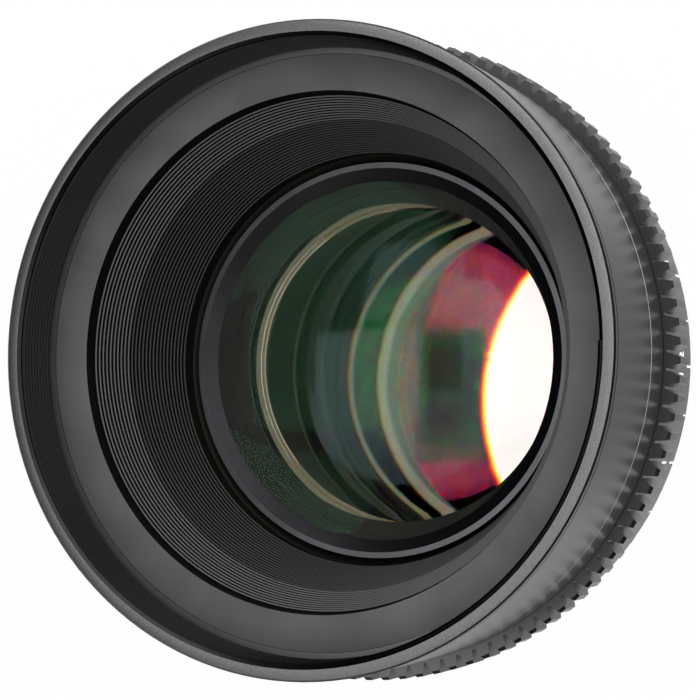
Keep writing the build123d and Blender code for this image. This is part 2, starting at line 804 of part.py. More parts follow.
def glasses():
    """Seven glasses in five groups, from the front to the rear."""
    glass("front_element", front_glass_radius, front_vertex, front_curve, front_back, front_back_curve)
    glass("second_element", doublet_radius, second_vertex, second_curve, second_back, front_cement_curve)
    glass("third_element", doublet_radius, third_vertex, front_cement_curve,
          third_back, third_back_curve, back_bowl=third_bowl)
    glass("fourth_element", rear_doublet_radius, fourth_vertex, fourth_curve,
          fourth_back, rear_cement_curve, front_bowl=fourth_bowl)
    glass("fifth_element", rear_doublet_radius, fifth_vertex, rear_cement_curve,
          fifth_back, fifth_back_curve)
    glass("sixth_element", rear_glass_radius, sixth_vertex, sixth_curve, sixth_back, sixth_back_curve)
    glass("rear_element", rear_glass_radius, rear_vertex, rear_curve, rear_back, rear_back_curve)


def rear_cell():
    """Rear cell, its two spacers and its nut."""
    lip_bore = fourth_bowl + rear_lip_margin
    doublet_bore = rear_doublet_radius + seat_gap
    bore = rear_glass_radius + seat_gap
    nut_bore = rear_nut_radius + seat_gap
    spacer_radius = rear_glass_radius - seat_gap
    with BuildPart() as cell:
        turn([
            (lip_bore, rear_flange_depth),
            (iris_base_radius, rear_flange_depth),
            (iris_base_radius, cell_end_depth),
            (rear_cell_radius, cell_end_depth),
            (rear_cell_radius, rear_cell_end),
            (nut_bore, rear_cell_end),
            (nut_bore, rear_nut_depth),
            (bore, rear_nut_depth),
            (bore, rear_step_depth),
            (doublet_bore, rear_step_depth),
            (doublet_bore, rear_seat_depth),
            (lip_bore, rear_seat_depth),
        ])
    write(cell, "rear_cell")
    with BuildPart() as doublet_spacer:
        tube(doublet_spacer_bore, spacer_radius, rear_step_depth,
             rest_ahead(sixth_vertex, sixth_curve, doublet_spacer_bore, rear_glass_radius))
    write(doublet_spacer, "doublet_spacer")
    with BuildPart() as air_spacer:
        tube(air_spacer_bore, spacer_radius,
             rest_behind(sixth_back, sixth_back_curve, air_spacer_bore, rear_glass_radius),
             rest_ahead(rear_vertex, rear_curve, air_spacer_bore, rear_glass_radius))
    write(air_spacer, "air_spacer")
    with BuildPart() as nut:
        tube(rear_nut_bore, rear_nut_radius, rear_nut_depth, rear_nut_depth + rear_nut_thickness)
    write(nut, "rear_retainer")


def drive_pin(share):
    """Where a blade's drive pin lies in the actuator, when the iris has closed by this share."""
    lever = math.radians(blade_lever_angle + share * blade_swing)
    outwards = blade_pivot_circle + blade_lever * math.cos(lever)
    sideways = blade_lever * math.sin(lever)
    turned = math.radians(-share * iris_throw)
    return Vector(
        outwards * math.cos(turned) - sideways * math.sin(turned),
        outwards * math.sin(turned) + sideways * math.cos(turned),
    )


def pin_heading(share):
    """Direction in which the drive pin runs along its slot."""
    nudge = 0.01
    return (drive_pin(share + nudge) - drive_pin(share - nudge)).normalized()


def slot_edge(side, reach):
    """Points beside the path of a drive pin, on one side of its slot."""
    steps = 8
    points = []
    for step in range(steps + 1):
        share = step / steps
        heading = pin_heading(share)
        points.append(drive_pin(share) + Vector(-heading.Y, heading.X) * side * reach)
    return points


def iris_actuator():
    """Slotted ring that swings the blades, with the radial pin that the iris fork carries."""
    reach = blade_pin_radius + seat_gap
    left = slot_edge(1, reach)
    right = slot_edge(-1, reach)
    open_end = drive_pin(0) - pin_heading(0) * reach
    closed_end = drive_pin(1) + pin_heading(1) * reach
    back = actuator_depth + actuator_thickness
    with BuildPart() as actuator:
        tube(stop_radius, iris_cavity_radius - running_gap, actuator_depth, back)
        for index in range(blade_count):
            with BuildSketch(across(back, index * 360 / blade_count)):
                with BuildLine():
                    Spline(*left)
                    ThreePointArc(left[-1], closed_end, right[-1])
                    Spline(*reversed(right))
                    ThreePointArc(right[0], open_end, left[0])
                make_face()
            extrude(amount=actuator_thickness, mode=Mode.SUBTRACT)
        radial_rod(actuator_pin_angle, actuator_pin_depth, actuator_pin_radius,
                   iris_cavity_radius - actuator_pin_radius, journal_bore - journal_clearance)
    write(actuator, "iris_actuator")


def iris_blade(index):
    """One curved blade on its own level, with a pivot pin behind it and a drive pin in front."""
    front = blade_stack_depth + index * blade_pitch
    back = front + blade_thickness
    angle = index * 360 / blade_count
    middle = (blade_inner_radius + blade_outer_radius) / 2
    lever = math.radians(blade_lever_angle)
    pivot = (blade_pivot_circle, 0)
    drive = (blade_pivot_circle + blade_lever * math.cos(lever), blade_lever * math.sin(lever))
    tip = (middle * math.cos(math.radians(blade_span)), middle * math.sin(math.radians(blade_span)))
    pivot_end = rear_flange_depth - axial_gap
    with BuildPart() as blade:
        with BuildSketch(across(back, angle)):
            fan(0, blade_span, blade_outer_radius)
            Circle(blade_outer_radius, mode=Mode.INTERSECT)
            Circle(blade_inner_radius, mode=Mode.SUBTRACT)
            with Locations((middle, 0), tip):
                Circle(blade_width / 2)
        extrude(amount=blade_thickness)
        with BuildSketch(across(back, angle)):
            with Locations((middle, 0), pivot, drive):
                Circle(blade_lobe_radius)
            make_hull()
        extrude(amount=blade_thickness)
        with BuildSketch(across(pivot_end, angle)):
            with Locations(pivot):
                Circle(blade_pivot_radius)
        extrude(amount=pivot_end - back)
        with BuildSketch(across(front, angle)):
            with Locations(drive):
                Circle(blade_pin_radius)
        extrude(amount=front - actuator_depth - axial_gap)
    write(blade, f"iris_blade_{index + 1}")


def iris():
    """Base plate with a pivot hole for each blade, the actuator and the blades."""
    with BuildPart() as base:
        tube(stop_radius, iris_base_radius, iris_base_depth, rear_flange_depth)
        axial_rods(blade_count, blade_pivot_circle, blade_pivot_radius + seat_gap,
                   iris_base_depth, rear_flange_depth, 0, Mode.SUBTRACT)
    write(base, "iris_base_plate")
    iris_actuator()
    for index in range(blade_count):
        iris_blade(index)


def iris_ring():
    """Iris ring with its scale band and drive gear, and the fork that reaches in to the iris."""
    band_middle = (iris_ring_depth + iris_band_end) / 2
    head_face = iris_tip_radius - fork_head_recess
    head_floor = head_face - fork_head_thickness
    outside = iris_tip_radius + overrun
    sides = (-fork_screw_offset, fork_screw_offset)
    with BuildPart() as ring:
        turn([
            (iris_bore, iris_ring_depth),
            (iris_tip_radius - ring_edge, iris_ring_depth),
            (iris_tip_radius, iris_ring_depth + ring_edge),
            (iris_tip_radius, iris_band_end),
            (iris_neck_radius, iris_band_end),
            (iris_neck_radius, iris_ring_end),
            (iris_bore, iris_ring_end),
        ])
        gear_rim(iris_teeth, iris_bore, iris_gear_depth, iris_gear_end)
        cut_teeth(iris_teeth, iris_gear_depth, iris_gear_end)
        for aside in sides:
            radial_rod(actuator_pin_angle, band_middle, fork_screw_radius + seat_gap,
                       iris_bore - overrun, outside, Mode.SUBTRACT, aside)
            radial_rod(actuator_pin_angle, band_middle, fork_head_radius + seat_gap,
                       head_floor, outside, Mode.SUBTRACT, aside)
    write(ring, "iris_ring")
    with BuildPart() as fork:
        with BuildSketch(across(fork_end_depth, actuator_pin_angle)):
            with Locations((iris_bore / 2, 0)):
                Rectangle(iris_bore, fork_width)
            Circle(iris_bore - seat_gap, mode=Mode.INTERSECT)
            Circle(fork_inner_radius, mode=Mode.SUBTRACT)
        extrude(amount=fork_end_depth - fork_depth)
        with BuildSketch(across(fork_slot_end, actuator_pin_angle)):
            with Locations((iris_bore, 0)):
                Rectangle(iris_bore, 2 * (actuator_pin_radius + running_gap))
        extrude(amount=fork_slot_end - fork_depth, mode=Mode.SUBTRACT)
        for aside in sides:
            radial_rod(actuator_pin_angle, band_middle, fork_screw_radius + seat_gap,
                       iris_bore - fork_screw_bite - screw_tip_gap, outside, Mode.SUBTRACT, aside)
    write(fork, "iris_fork")
    with BuildPart() as screws:
        for aside in sides:
            radial_rod(actuator_pin_angle, band_middle, fork_screw_radius,
                       iris_bore - fork_screw_bite, head_floor + contact_gap, aside=aside)
            radial_rod(actuator_pin_angle, band_middle, fork_head_radius,
                       head_floor + contact_gap, head_face, aside=aside)
    write(screws, "fork_screws")


def index_ring():
    """Fixed tapered ring between the two drive rings, which carries both index marks."""
    front_radius = scale_band_radius - index_drop
    lip_depth = index_depth - index_lip_length
    lip_radius = focus_skirt_bore - index_gap
    lip_bore = lip_radius - index_lip_wall
    seat_bore = journal_radius + seat_gap
    with BuildPart() as ring:
        turn([
            (lip_bore, lip_depth),
            (lip_radius, lip_depth),
            (lip_radius, index_depth),
            (front_radius, index_depth),
            (front_radius - index_taper, index_end_depth),
            (seat_bore, index_end_depth),
            (seat_bore, index_seat_depth),
            (lip_bore, index_seat_depth),
        ])
    write(ring, "index_ring")


def rear_barrel():
    """Rear barrel with the journal that the iris ring turns on, and its grub screws."""
    fork_margin = math.degrees(math.asin(fork_width / 2 / journal_bore)) + fork_spare_angle
    web_depth = rear_barrel_depth - rear_web_thickness
    ledge_depth = guide_end_depth + contact_gap
    ledge_end = ledge_depth + rear_ledge_thickness
    inner_end = rear_barrel_end - rear_end_thickness
    grub_depth = rear_barrel_knee - grub_setback
    grub_angles = [grub_first_angle + index * 360 / grub_count for index in range(grub_count)]
    with BuildPart() as barrel:
        turn([
            (journal_bore, journal_depth),
            (journal_radius, journal_depth),
            (journal_radius, rear_barrel_depth),
            (rear_barrel_radius, rear_barrel_depth),
            (rear_barrel_radius, rear_barrel_knee),
            (rear_barrel_tail, rear_barrel_end),
            (pilot_radius + seat_gap, rear_barrel_end),
            (pilot_radius + seat_gap, inner_end),
            (rear_bore_radius, inner_end),
            (rear_bore_radius, ledge_end),
            (rear_ledge_radius, ledge_end),
            (rear_ledge_radius, ledge_depth),
            (guide_radius + seat_gap, ledge_depth),
            (guide_radius + seat_gap, web_depth),
            (journal_bore, web_depth),
        ])
        wall_window(
            actuator_pin_angle - fork_margin,
            actuator_pin_angle + iris_throw + fork_margin,
            journal_bore,
            journal_radius,
            fork_depth - ring_gap,
            fork_end_depth + ring_gap,
        )
        for angle in grub_angles:
            radial_rod(angle, grub_depth, grub_radius + seat_gap,
                       guide_radius - overrun, rear_barrel_radius + overrun, Mode.SUBTRACT)
        axial_rods(screw_count, mount_screw_circle, screw_radius + seat_gap,
                   rear_barrel_end - mount_screw_length, rear_barrel_end, screw_first_angle,
                   Mode.SUBTRACT)
    write(barrel, "rear_barrel")
    with BuildPart() as grubs:
        for angle in grub_angles:
            radial_rod(angle, grub_depth, grub_radius, guide_radius + contact_gap,
                       rear_barrel_radius - grub_recess)
    write(grubs, "grub_screws")


def bayonet_mount():
    """Bayonet plate with its spigot, three lugs, lock hole and four screws."""
    pilot_depth = rear_barrel_end - mount_pilot_length
    guard_bore = spigot_bore + guard_step + seat_gap
    guard_seat = front_height - guard_recess
    lug_radius = spigot_radius + lug_height
    lug_end = flange_depth + lug_setback + lug_thickness
    with BuildPart() as mount:
        turn([
            (spigot_bore, pilot_depth),
            (pilot_radius, pilot_depth),
            (pilot_radius, rear_barrel_end),
            (mount_radius, rear_barrel_end),
            (mount_radius, flange_depth - mount_chamfer),
            (mount_radius - mount_chamfer, flange_depth),
            (spigot_radius, flange_depth),
            (spigot_radius, front_height - spigot_chamfer),
            (spigot_radius - spigot_chamfer, front_height),
            (guard_bore, front_height),
            (guard_bore, guard_seat),
            (spigot_bore, guard_seat),
        ])
        with BuildSketch(across(lug_end)):
            for index in range(lug_count):
                middle = index * 360 / lug_count
                fan(middle - lug_span / 2, middle + lug_span / 2, lug_radius)
            Circle(lug_radius, mode=Mode.INTERSECT)
            Circle(spigot_radius - guard_step / 2, mode=Mode.SUBTRACT)
        extrude(amount=lug_thickness)
        screw_holes(mount_screw_circle, flange_depth, rear_barrel_end, screw_first_angle)
        axial_rods(1, mount_screw_circle, lock_hole_radius, flange_depth - lock_hole_depth,
                   flange_depth, lock_hole_angle, Mode.SUBTRACT)
    write(mount, "bayonet_mount")
    with BuildPart() as screws:
        axial_screws(mount_screw_circle, flange_depth, rear_barrel_end - mount_screw_length,
                     screw_first_angle)
    write(screws, "mount_screws")


def rear_light_guard():
    """Shallow cup with a round opening, which keeps stray light off the frame."""
    plate_depth = front_height - guard_recess + contact_gap
    plate_end = plate_depth + guard_thickness
    rim_outer = spigot_bore - seat_gap
    with BuildPart() as guard:
        tube(rim_outer - guard_rim_wall, rim_outer, plate_depth - guard_rim_length, plate_end)
        with BuildSketch(across(plate_end)):
            Circle(spigot_bore + guard_step)
            Circle(guard_opening, mode=Mode.SUBTRACT)
        extrude(amount=guard_thickness)
    write(guard, "rear_light_guard")


if __name__ == "__main__":
    os.makedirs("parts", exist_ok=True)
    front_barrel()
    name_ring()
    ribbed_baffle()
    guide_sleeve()
    focus_cam()
    focus_ring()
    front_retainer()
    front_cell()
    cam_followers()
    glasses()
    rear_cell()
    iris()
    iris_ring()
    index_ring()
    rear_barrel()
    bayonet_mount()
    rear_light_guard()
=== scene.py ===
# %% [markdown]
# # A geared prime lens, finished in Blender
#
# The lens comes from a CAD model that already has every ring, glass and screw in its true place. What
# is left for Blender is the look: anodised aluminium, coated glass, the ridges of the filter thread,
# the painted scales and the sockets of the small screws. Lengths are in metres, as in the model, and
# the optical axis is Z with the front rim on top.

# %% Load the frame
import math

import bpy
from mathutils import Matrix, Vector


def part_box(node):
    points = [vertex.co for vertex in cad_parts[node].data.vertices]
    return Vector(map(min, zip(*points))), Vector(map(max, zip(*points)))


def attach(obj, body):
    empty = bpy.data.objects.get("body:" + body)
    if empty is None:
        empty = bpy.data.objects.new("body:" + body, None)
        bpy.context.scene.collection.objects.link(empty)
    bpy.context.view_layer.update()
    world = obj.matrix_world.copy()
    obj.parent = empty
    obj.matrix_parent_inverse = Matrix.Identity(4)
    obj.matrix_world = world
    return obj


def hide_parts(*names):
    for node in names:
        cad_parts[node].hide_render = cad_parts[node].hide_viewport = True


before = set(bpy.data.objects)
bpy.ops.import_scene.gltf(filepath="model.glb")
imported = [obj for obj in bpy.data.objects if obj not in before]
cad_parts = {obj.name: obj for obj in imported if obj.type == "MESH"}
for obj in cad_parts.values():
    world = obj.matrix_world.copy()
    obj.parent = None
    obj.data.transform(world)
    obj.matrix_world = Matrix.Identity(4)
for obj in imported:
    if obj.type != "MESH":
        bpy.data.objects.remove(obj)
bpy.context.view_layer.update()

MM = 0.001

# %% [markdown]
# ## Stations along the axis
#
# A lens designer gives places as depths behind the front rim. The same habit helps here, because the
# rim is what the camera looks at. One function turns such a depth into a height.

# %% Stations
rim_height = 89.5 * MM


def height(depth):
    """Height of a station that lies this many millimetres behind the rim."""
    return rim_height - depth * MM


thread_crest, thread_root = 40.62 * MM, 41.0 * MM
rim_radius = 43.0 * MM
focus_band_radius, iris_band_radius = 43.3 * MM, 38.4 * MM
print("rim at", round(height(0) / MM, 2), "mm, focus band at", round(height(35) / MM, 2), "mm")

# %% [markdown]
# ## The camera
#
# The photograph is taken from 22 degrees to the right of the axis with a lens of about 100 mm. The
# camera's place was worked out from the ellipses of the rim, the thread and the gear. It could also be
# aimed with a Track To constraint, but a matrix built from its own three axes is exact and short.

# %% Camera
camera_data = bpy.data.cameras.new("camera")
camera_data.sensor_width = 36
camera_data.lens = 101.49
camera = bpy.data.objects.new("camera", camera_data)
bpy.context.scene.collection.objects.link(camera)
right = Vector((0.92472, 0.0, -0.38064))
up = Vector((0.02248, 0.99825, 0.05461))
backwards = Vector((0.37997, -0.05906, 0.92310))
place = Vector((104.1, -15.4, 233.1)) * MM + Vector((0, 0, rim_height))
camera.matrix_world = Matrix((
    (right.x, up.x, backwards.x, place.x),
    (right.y, up.y, backwards.y, place.y),
    (right.z, up.z, backwards.z, place.z),
    (0, 0, 0, 1),
))
bpy.context.scene.camera = camera
bpy.context.scene.view_settings.view_transform = "Standard"
print("camera stands", round(place.length / MM), "mm from the base of the lens")

# %% [markdown]
# ## Helpers for finishes
#
# Colours are written as the hex values that a colour picker shows, and one function turns them into
# the linear values that the shaders work in. Another adds a node with its settings and links, so that
# each finish below reads as a short list of what it is made of. Nearly every part is turned on a lathe,
# so a third measures how far a point lies from the axis.

# %% Colour helpers
def linear(shade):
    """Linear colour of an sRGB hex value."""
    parts = [int(shade[i:i + 2], 16) / 255 for i in (1, 3, 5)]
    return (*[p / 12.92 if p <= 0.04045 else ((p + 0.055) / 1.055) ** 2.4 for p in parts], 1.0)


def scaled(colour, factor):
    """A linear colour made this many times as bright, up to white."""
    return tuple(min(1.0, part * factor) for part in colour[:3]) + (1,)


print("linear of mid grey:", round(linear("#808080")[0], 3))

# %% Node helpers
def add(tree, kind, inputs=None, **settings):
    """Add a node to a tree. An input is given a value, or another node's output to link to."""
    node = tree.nodes.new("ShaderNode" + kind)
    for name, value in settings.items():
        setattr(node, name, value)
    for name, value in (inputs or {}).items():
        if isinstance(value, bpy.types.NodeSocket):
            tree.links.new(value, node.inputs[name])
        else:
            node.inputs[name].default_value = value
    return node


def position_nodes(tree):
    """Coordinates of a point, its three axes, its place across the lens and its distance from the axis."""
    coords = add(tree, "TexCoord")
    axes = add(tree, "SeparateXYZ", {0: coords.outputs["Object"]})
    flat = add(tree, "CombineXYZ", {"X": axes.outputs["X"], "Y": axes.outputs["Y"]})
    radius = add(tree, "VectorMath", {0: flat.outputs[0]}, operation="LENGTH")
    return coords, axes, flat, radius


def mottled(tree, coords, size, first, second):
    """Colour that wanders between two linear colours, in patches of this many millimetres."""
    noise = add(tree, "TexNoise", {"Vector": coords.outputs["Object"], "Scale": 1 / (size * MM),
                                   "Detail": 2.0})
    return add(tree, "MixRGB", {"Fac": noise.outputs["Fac"], "Color1": first, "Color2": second})


# %% Material helpers
def new_material(name):
    """An empty material, its tree and the surface socket to plug a shader into."""
    material = bpy.data.materials.new(name)
    material.use_nodes = True
    tree = material.node_tree
    tree.nodes.clear()
    output = tree.nodes.new("ShaderNodeOutputMaterial")
    return material, tree, output.inputs["Surface"]


def dress(material, *nodes):
    """Give a material to CAD nodes."""
    for name in nodes:
        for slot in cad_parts[name].material_slots:
            slot.material = material


print("the model has", len(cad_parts), "CAD nodes to dress")

# %% [markdown]
# ## The white studio
#
# The floor is a plain white sweep. What the camera sees of it, straight or through glass, is lifted to
# white by its material, so the lamps can stay at a plain level and the lens still throws its shadow.
# More lamps on the floor would burn out the metal instead.

# %% Floor
floor_radius = 3.0
white_share = 0.975
bpy.ops.object.select_all(action="DESELECT")
bpy.ops.mesh.primitive_circle_add(vertices=96, radius=floor_radius, fill_type="NGON", location=(0, 0, 0))
floor = bpy.context.object
floor.name = "floor"
white_floor, tree, surface = new_material("white_floor")
path = add(tree, "LightPath")
seen = add(tree, "Math", {0: path.outputs["Is Camera Ray"], 1: path.outputs["Is Transmission Ray"]},
           operation="MAXIMUM")
share = add(tree, "Math", {0: seen.outputs[0], 1: white_share}, operation="MULTIPLY")
paper = add(tree, "BsdfDiffuse", {"Color": linear("#8c8c8c")})
glow = add(tree, "Emission", {"Color": (1, 1, 1, 1), "Strength": 1.0})
mix = add(tree, "MixShader", {0: share.outputs[0], 1: paper.outputs[0], 2: glow.outputs[0]})
tree.links.new(mix.outputs[0], surface)
floor.data.materials.append(white_floor)
print("floor is", round(2 * floor_radius), "m wide")

# %% [markdown]
# ## The grey card
#
# Metal with nothing but white round it looks flat, so a photographer slides a grey card in beside it,
# just out of the picture. This one lies on the floor to the right. Only reflections show it, and it
# makes the dark band along the side of the barrel.

# %% Grey card
card_width, card_length = 0.22, 0.10
card_aside, card_lift = 0.165, 0.001
bpy.ops.object.select_all(action="DESELECT")
bpy.ops.mesh.primitive_plane_add(size=1, location=(0, 0, 0))
card = bpy.context.object
card.name = "dark_card"
bpy.ops.object.mode_set(mode="EDIT")
bpy.ops.mesh.select_all(action="SELECT")
bpy.ops.transform.resize(value=(card_width, card_length, 1), center_override=(0, 0, 0))
bpy.ops.transform.translate(value=(card_aside, 0.0, card_lift))
bpy.ops.object.mode_set(mode="OBJECT")
card.visible_camera = False
card.visible_transmission = False
card.visible_diffuse = False
card.visible_shadow = False
dark_card, tree, surface = new_material("dark_card")
felt = add(tree, "BsdfDiffuse", {"Color": linear("#666666")})
tree.links.new(felt.outputs[0], surface)
card.data.materials.append(dark_card)
print("card reaches", round(card_aside + card_width / 2, 3), "m from the axis")

# %% [markdown]
# ## The world
#
# The camera sees a white background. Everything else is lit by a soft grey sky, so that the shadows in
# the lens keep some light.

# %% World
world = bpy.data.worlds.new("studio")
bpy.context.scene.world = world
world.use_nodes = True
world.node_tree.nodes.clear()
path = add(world.node_tree, "LightPath")
level = add(world.node_tree, "MixRGB", {"Fac": path.outputs["Is Camera Ray"],
                                        "Color1": linear("#76787c"), "Color2": (1, 1, 1, 1)})
sky = add(world.node_tree, "Background", {"Color": level.outputs[0], "Strength": 1.0})
add(world.node_tree, "OutputWorld", {"Surface": sky.outputs[0]})
print("world is in")

# %% [markdown]
# ## Softboxes
#
# Metal and glass show what stands round them, so a product photographer paints with softboxes. Five of
# them hang in one plane ahead of the lens, round the camera, and their mirror images make the panes of
# colour in the glass. Their edges are given as slopes from the optical axis, since that is what sets
# where a pane's edge falls. One more stands on the right and one above, for the side of the barrel and
# the flanks of the teeth.

# %% Lamps
slope_origin = height(25)
lens_middle = Vector((0, 0, height(20)))


def softbox(name, width, length, brightness):
    """Area lamp with a face this many times as bright as white paper."""
    lamp = bpy.data.lights.new(name, "AREA")
    lamp.shape = "RECTANGLE"
    lamp.size, lamp.size_y = width, length
    lamp.energy = brightness * math.pi * width * length
    box = bpy.data.objects.new(name, lamp)
    bpy.context.scene.collection.objects.link(box)
    box.visible_camera = False
    return box


def overhead(name, left, right, bottom, top, brightness, distance=0.45):
    """Softbox in the plane ahead of the lens, with its edges as slopes from the axis."""
    box = softbox(name, (right - left) * distance, (top - bottom) * distance, brightness)
    box.location = ((left + right) / 2 * distance, (bottom + top) / 2 * distance, slope_origin + distance)


def aimed(name, direction, distance, width, length, brightness):
    """Softbox in this direction from the middle of the lens, and turned to face it."""
    outward = direction.normalized()
    place = lens_middle + outward * distance
    box = softbox(name, width, length, brightness)
    box.matrix_world = Matrix.Translation(place) @ (-outward).to_track_quat("-Z", "Y").to_matrix().to_4x4()


overhead("right_pane", left=0.26, right=1.81, bottom=-0.61, top=0.61, brightness=5.21)
overhead("left_pane", left=-0.85, right=0.01, bottom=-0.61, top=0.24, brightness=4.8)
overhead("upper_pane", left=-0.44, right=0.26, bottom=0.30, top=2.62, brightness=3.57)
overhead("lower_pane", left=-0.94, right=0.43, bottom=-2.83, top=-0.16, brightness=3.39)
overhead("far_right_pane", left=0.43, right=2.16, bottom=-0.31, top=1.35, brightness=4.34)
aimed("right_softbox", Vector((0.92, 0.05, 0.36)), distance=0.55, width=0.34, length=0.60, brightness=1.0)
aimed("top_softbox", Vector((0.30, 0.90, 0.32)), distance=0.6, width=0.7, length=0.5, brightness=9.0)

# %% [markdown]
# ## Anodised aluminium
#
# The barrel parts are turned from aluminium, blasted with fine beads and dyed dark while they are
# anodised. The eye sees a metal that is grey rather than black, with soft highlights and a grain of
# about a tenth of a millimetre. A noise of that size drives the roughness and a slight bump. The cones
# of the name ring and of the retainer get a painted shade that makes them darker than their flat faces.

# %% Blasted finish
def blasted(name, shade, roughness, grain=0.14, depth=0.004, painted_cone_share=1.0):
    """Blasted and anodised aluminium, with a grain and a bump depth in millimetres. The last argument is
    the share of the colour that is left on a cone or a side, a painted shade that darkens them."""
    material, tree, surface = new_material(name)
    cloud_size = 9
    coords = add(tree, "TexCoord")
    grit = add(tree, "TexNoise", {"Vector": coords.outputs["Object"], "Scale": 1 / (grain * MM),
                                  "Detail": 2.0, "Roughness": 0.6})
    cloud = add(tree, "TexNoise", {"Vector": coords.outputs["Object"], "Scale": 1 / (cloud_size * MM),
                                   "Detail": 3.0})
    dull = add(tree, "MapRange", {"Value": grit.outputs["Fac"], "From Min": 0.3, "From Max": 0.7,
                                  "To Min": roughness - 0.05, "To Max": roughness + 0.05})
    base = linear(shade)
    light, dark = scaled(base, 1.25), scaled(base, 0.8)
    blend = add(tree, "Math", {0: grit.outputs["Fac"], 1: cloud.outputs["Fac"]}, operation="ADD")
    tone = add(tree, "MapRange", {"Value": blend.outputs[0], "From Min": 0.7, "From Max": 1.3})
    colour = add(tree, "MixRGB", {"Fac": tone.outputs[0], "Color1": dark, "Color2": light})
    normal = add(tree, "SeparateXYZ", {0: coords.outputs["Normal"]})
    # Painted shade: a face that isn't flat across the axis keeps only a share of the colour.
    level = add(tree, "Math", {0: normal.outputs["Z"], 1: 0.9}, operation="GREATER_THAN")
    level = add(tree, "MapRange", {"Value": level.outputs[0], "To Min": painted_cone_share, "To Max": 1.0})
    colour = add(tree, "VectorMath", {0: colour.outputs[0], "Scale": level.outputs[0]}, operation="SCALE")
    bump = add(tree, "Bump", {"Height": grit.outputs["Fac"], "Distance": depth * MM, "Strength": 1.0})
    metal = add(tree, "BsdfPrincipled", {"Base Color": colour.outputs[0], "Metallic": 1.0,
                                         "Roughness": dull.outputs[0], "Normal": bump.outputs[0]})
    tree.links.new(metal.outputs[0], surface)
    return material


# The cones of the name ring and of the retainer are darkened with painted shade.
dress(blasted("blasted_name_ring", "#404040", 0.72, grain=0.10, painted_cone_share=0.08), "name_ring")
dress(blasted("blasted_housing", "#3c3d3e", 0.36), "index_ring", "rear_barrel")
dress(blasted("satin_black_retainer", "#363638", 0.42, grain=0.10, painted_cone_share=0.28), "front_retainer")
print("blasted parts are dressed")

# %% [markdown]
# ## The front barrel
#
# One piece of metal shows three finishes here: the satin side, the coarser blasted faces of the rim
# and of the ledge inside it, and the thread bore, which is dull black so that it doesn't flare. Of the
# two fine lines turned round the outside, the rear one carries a painted highlight, a thin band of light
# grey. The object's own normal tells the faces, the radius tells the bore, and the depth tells the line.
# Masks are simpler than cutting the mesh, and they stay with it in every pose.

# %% Barrel finish
bore_radius, bevel_radius = 41.55 * MM, 41.4 * MM
highlight_line_level, line_half_width = height(18.2), 0.14 * MM
material, tree, surface = new_material("blasted_front_barrel")
coords, axes, _, radius = position_nodes(tree)
normal = add(tree, "SeparateXYZ", {0: coords.outputs["Normal"]})
face = add(tree, "Math", {0: normal.outputs["Z"], 1: 0.9}, operation="GREATER_THAN")
edge = add(tree, "Math", {0: normal.outputs["Z"], 1: 0.3}, operation="GREATER_THAN")
bore = add(tree, "Math", {0: radius.outputs["Value"], 1: bore_radius}, operation="LESS_THAN")
grit = add(tree, "TexNoise", {"Vector": coords.outputs["Object"], "Scale": 1 / (0.10 * MM), "Detail": 1.0})
coarse = add(tree, "TexNoise", {"Vector": coords.outputs["Object"], "Scale": 1 / (0.22 * MM), "Detail": 2.0})
speck = add(tree, "MapRange", {"Value": coarse.outputs["Fac"], "From Min": 0.35, "From Max": 0.7})
side = add(tree, "MixRGB", {"Fac": grit.outputs["Fac"], "Color1": linear("#27282a"),
                            "Color2": linear("#303133")})
blast = add(tree, "MixRGB", {"Fac": speck.outputs[0], "Color1": linear("#403f3f"),
                             "Color2": linear("#4b4a4a")})
colour = add(tree, "MixRGB", {"Fac": edge.outputs[0], "Color1": side.outputs[0],
                              "Color2": linear("#161616")})
colour = add(tree, "MixRGB", {"Fac": bore.outputs[0], "Color1": colour.outputs[0],
                              "Color2": linear("#121212")})
colour = add(tree, "MixRGB", {"Fac": face.outputs[0], "Color1": colour.outputs[0],
                              "Color2": blast.outputs[0]})
# Painted highlight: a thin light grey band round the outside at the rear turned line.
line = add(tree, "Math", {0: axes.outputs["Z"], 1: highlight_line_level, 2: line_half_width}, operation="COMPARE")
colour = add(tree, "MixRGB", {"Fac": line.outputs[0], "Color1": colour.outputs[0],
                              "Color2": linear("#a8a8a8")})
dull = add(tree, "Math", {0: face.outputs[0], 1: line.outputs[0]}, operation="MAXIMUM")
rough = add(tree, "MapRange", {"Value": dull.outputs[0], "To Min": 0.28, "To Max": 0.5})
bump = add(tree, "Bump", {"Height": grit.outputs["Fac"], "Distance": 0.002 * MM, "Strength": 1.0})
rise = add(tree, "MapRange", {"Value": radius.outputs["Value"], "From Min": bevel_radius,
                              "From Max": rim_radius})
fall = add(tree, "Math", {0: rise.outputs[0], 1: 2.0}, operation="POWER")
dome = add(tree, "Bump", {"Height": fall.outputs[0], "Distance": 0.38 * MM, "Normal": bump.outputs[0]},
           invert=True)
metal = add(tree, "BsdfPrincipled", {"Base Color": colour.outputs[0], "Metallic": 1.0,
                                     "Roughness": rough.outputs[0], "Normal": dome.outputs[0]})
tree.links.new(metal.outputs[0], surface)
dress(material, "front_barrel")
print("front barrel is dressed")

# %% [markdown]
# ## Turned drive rings
#
# The gear is hobbed from a turned ring and anodised afterwards. Its end faces keep the fine circular
# tool marks, which spread a highlight into streaks along the radius. Anisotropic roughness does that
# without a groove for each mark, with the tangent running round the axis.

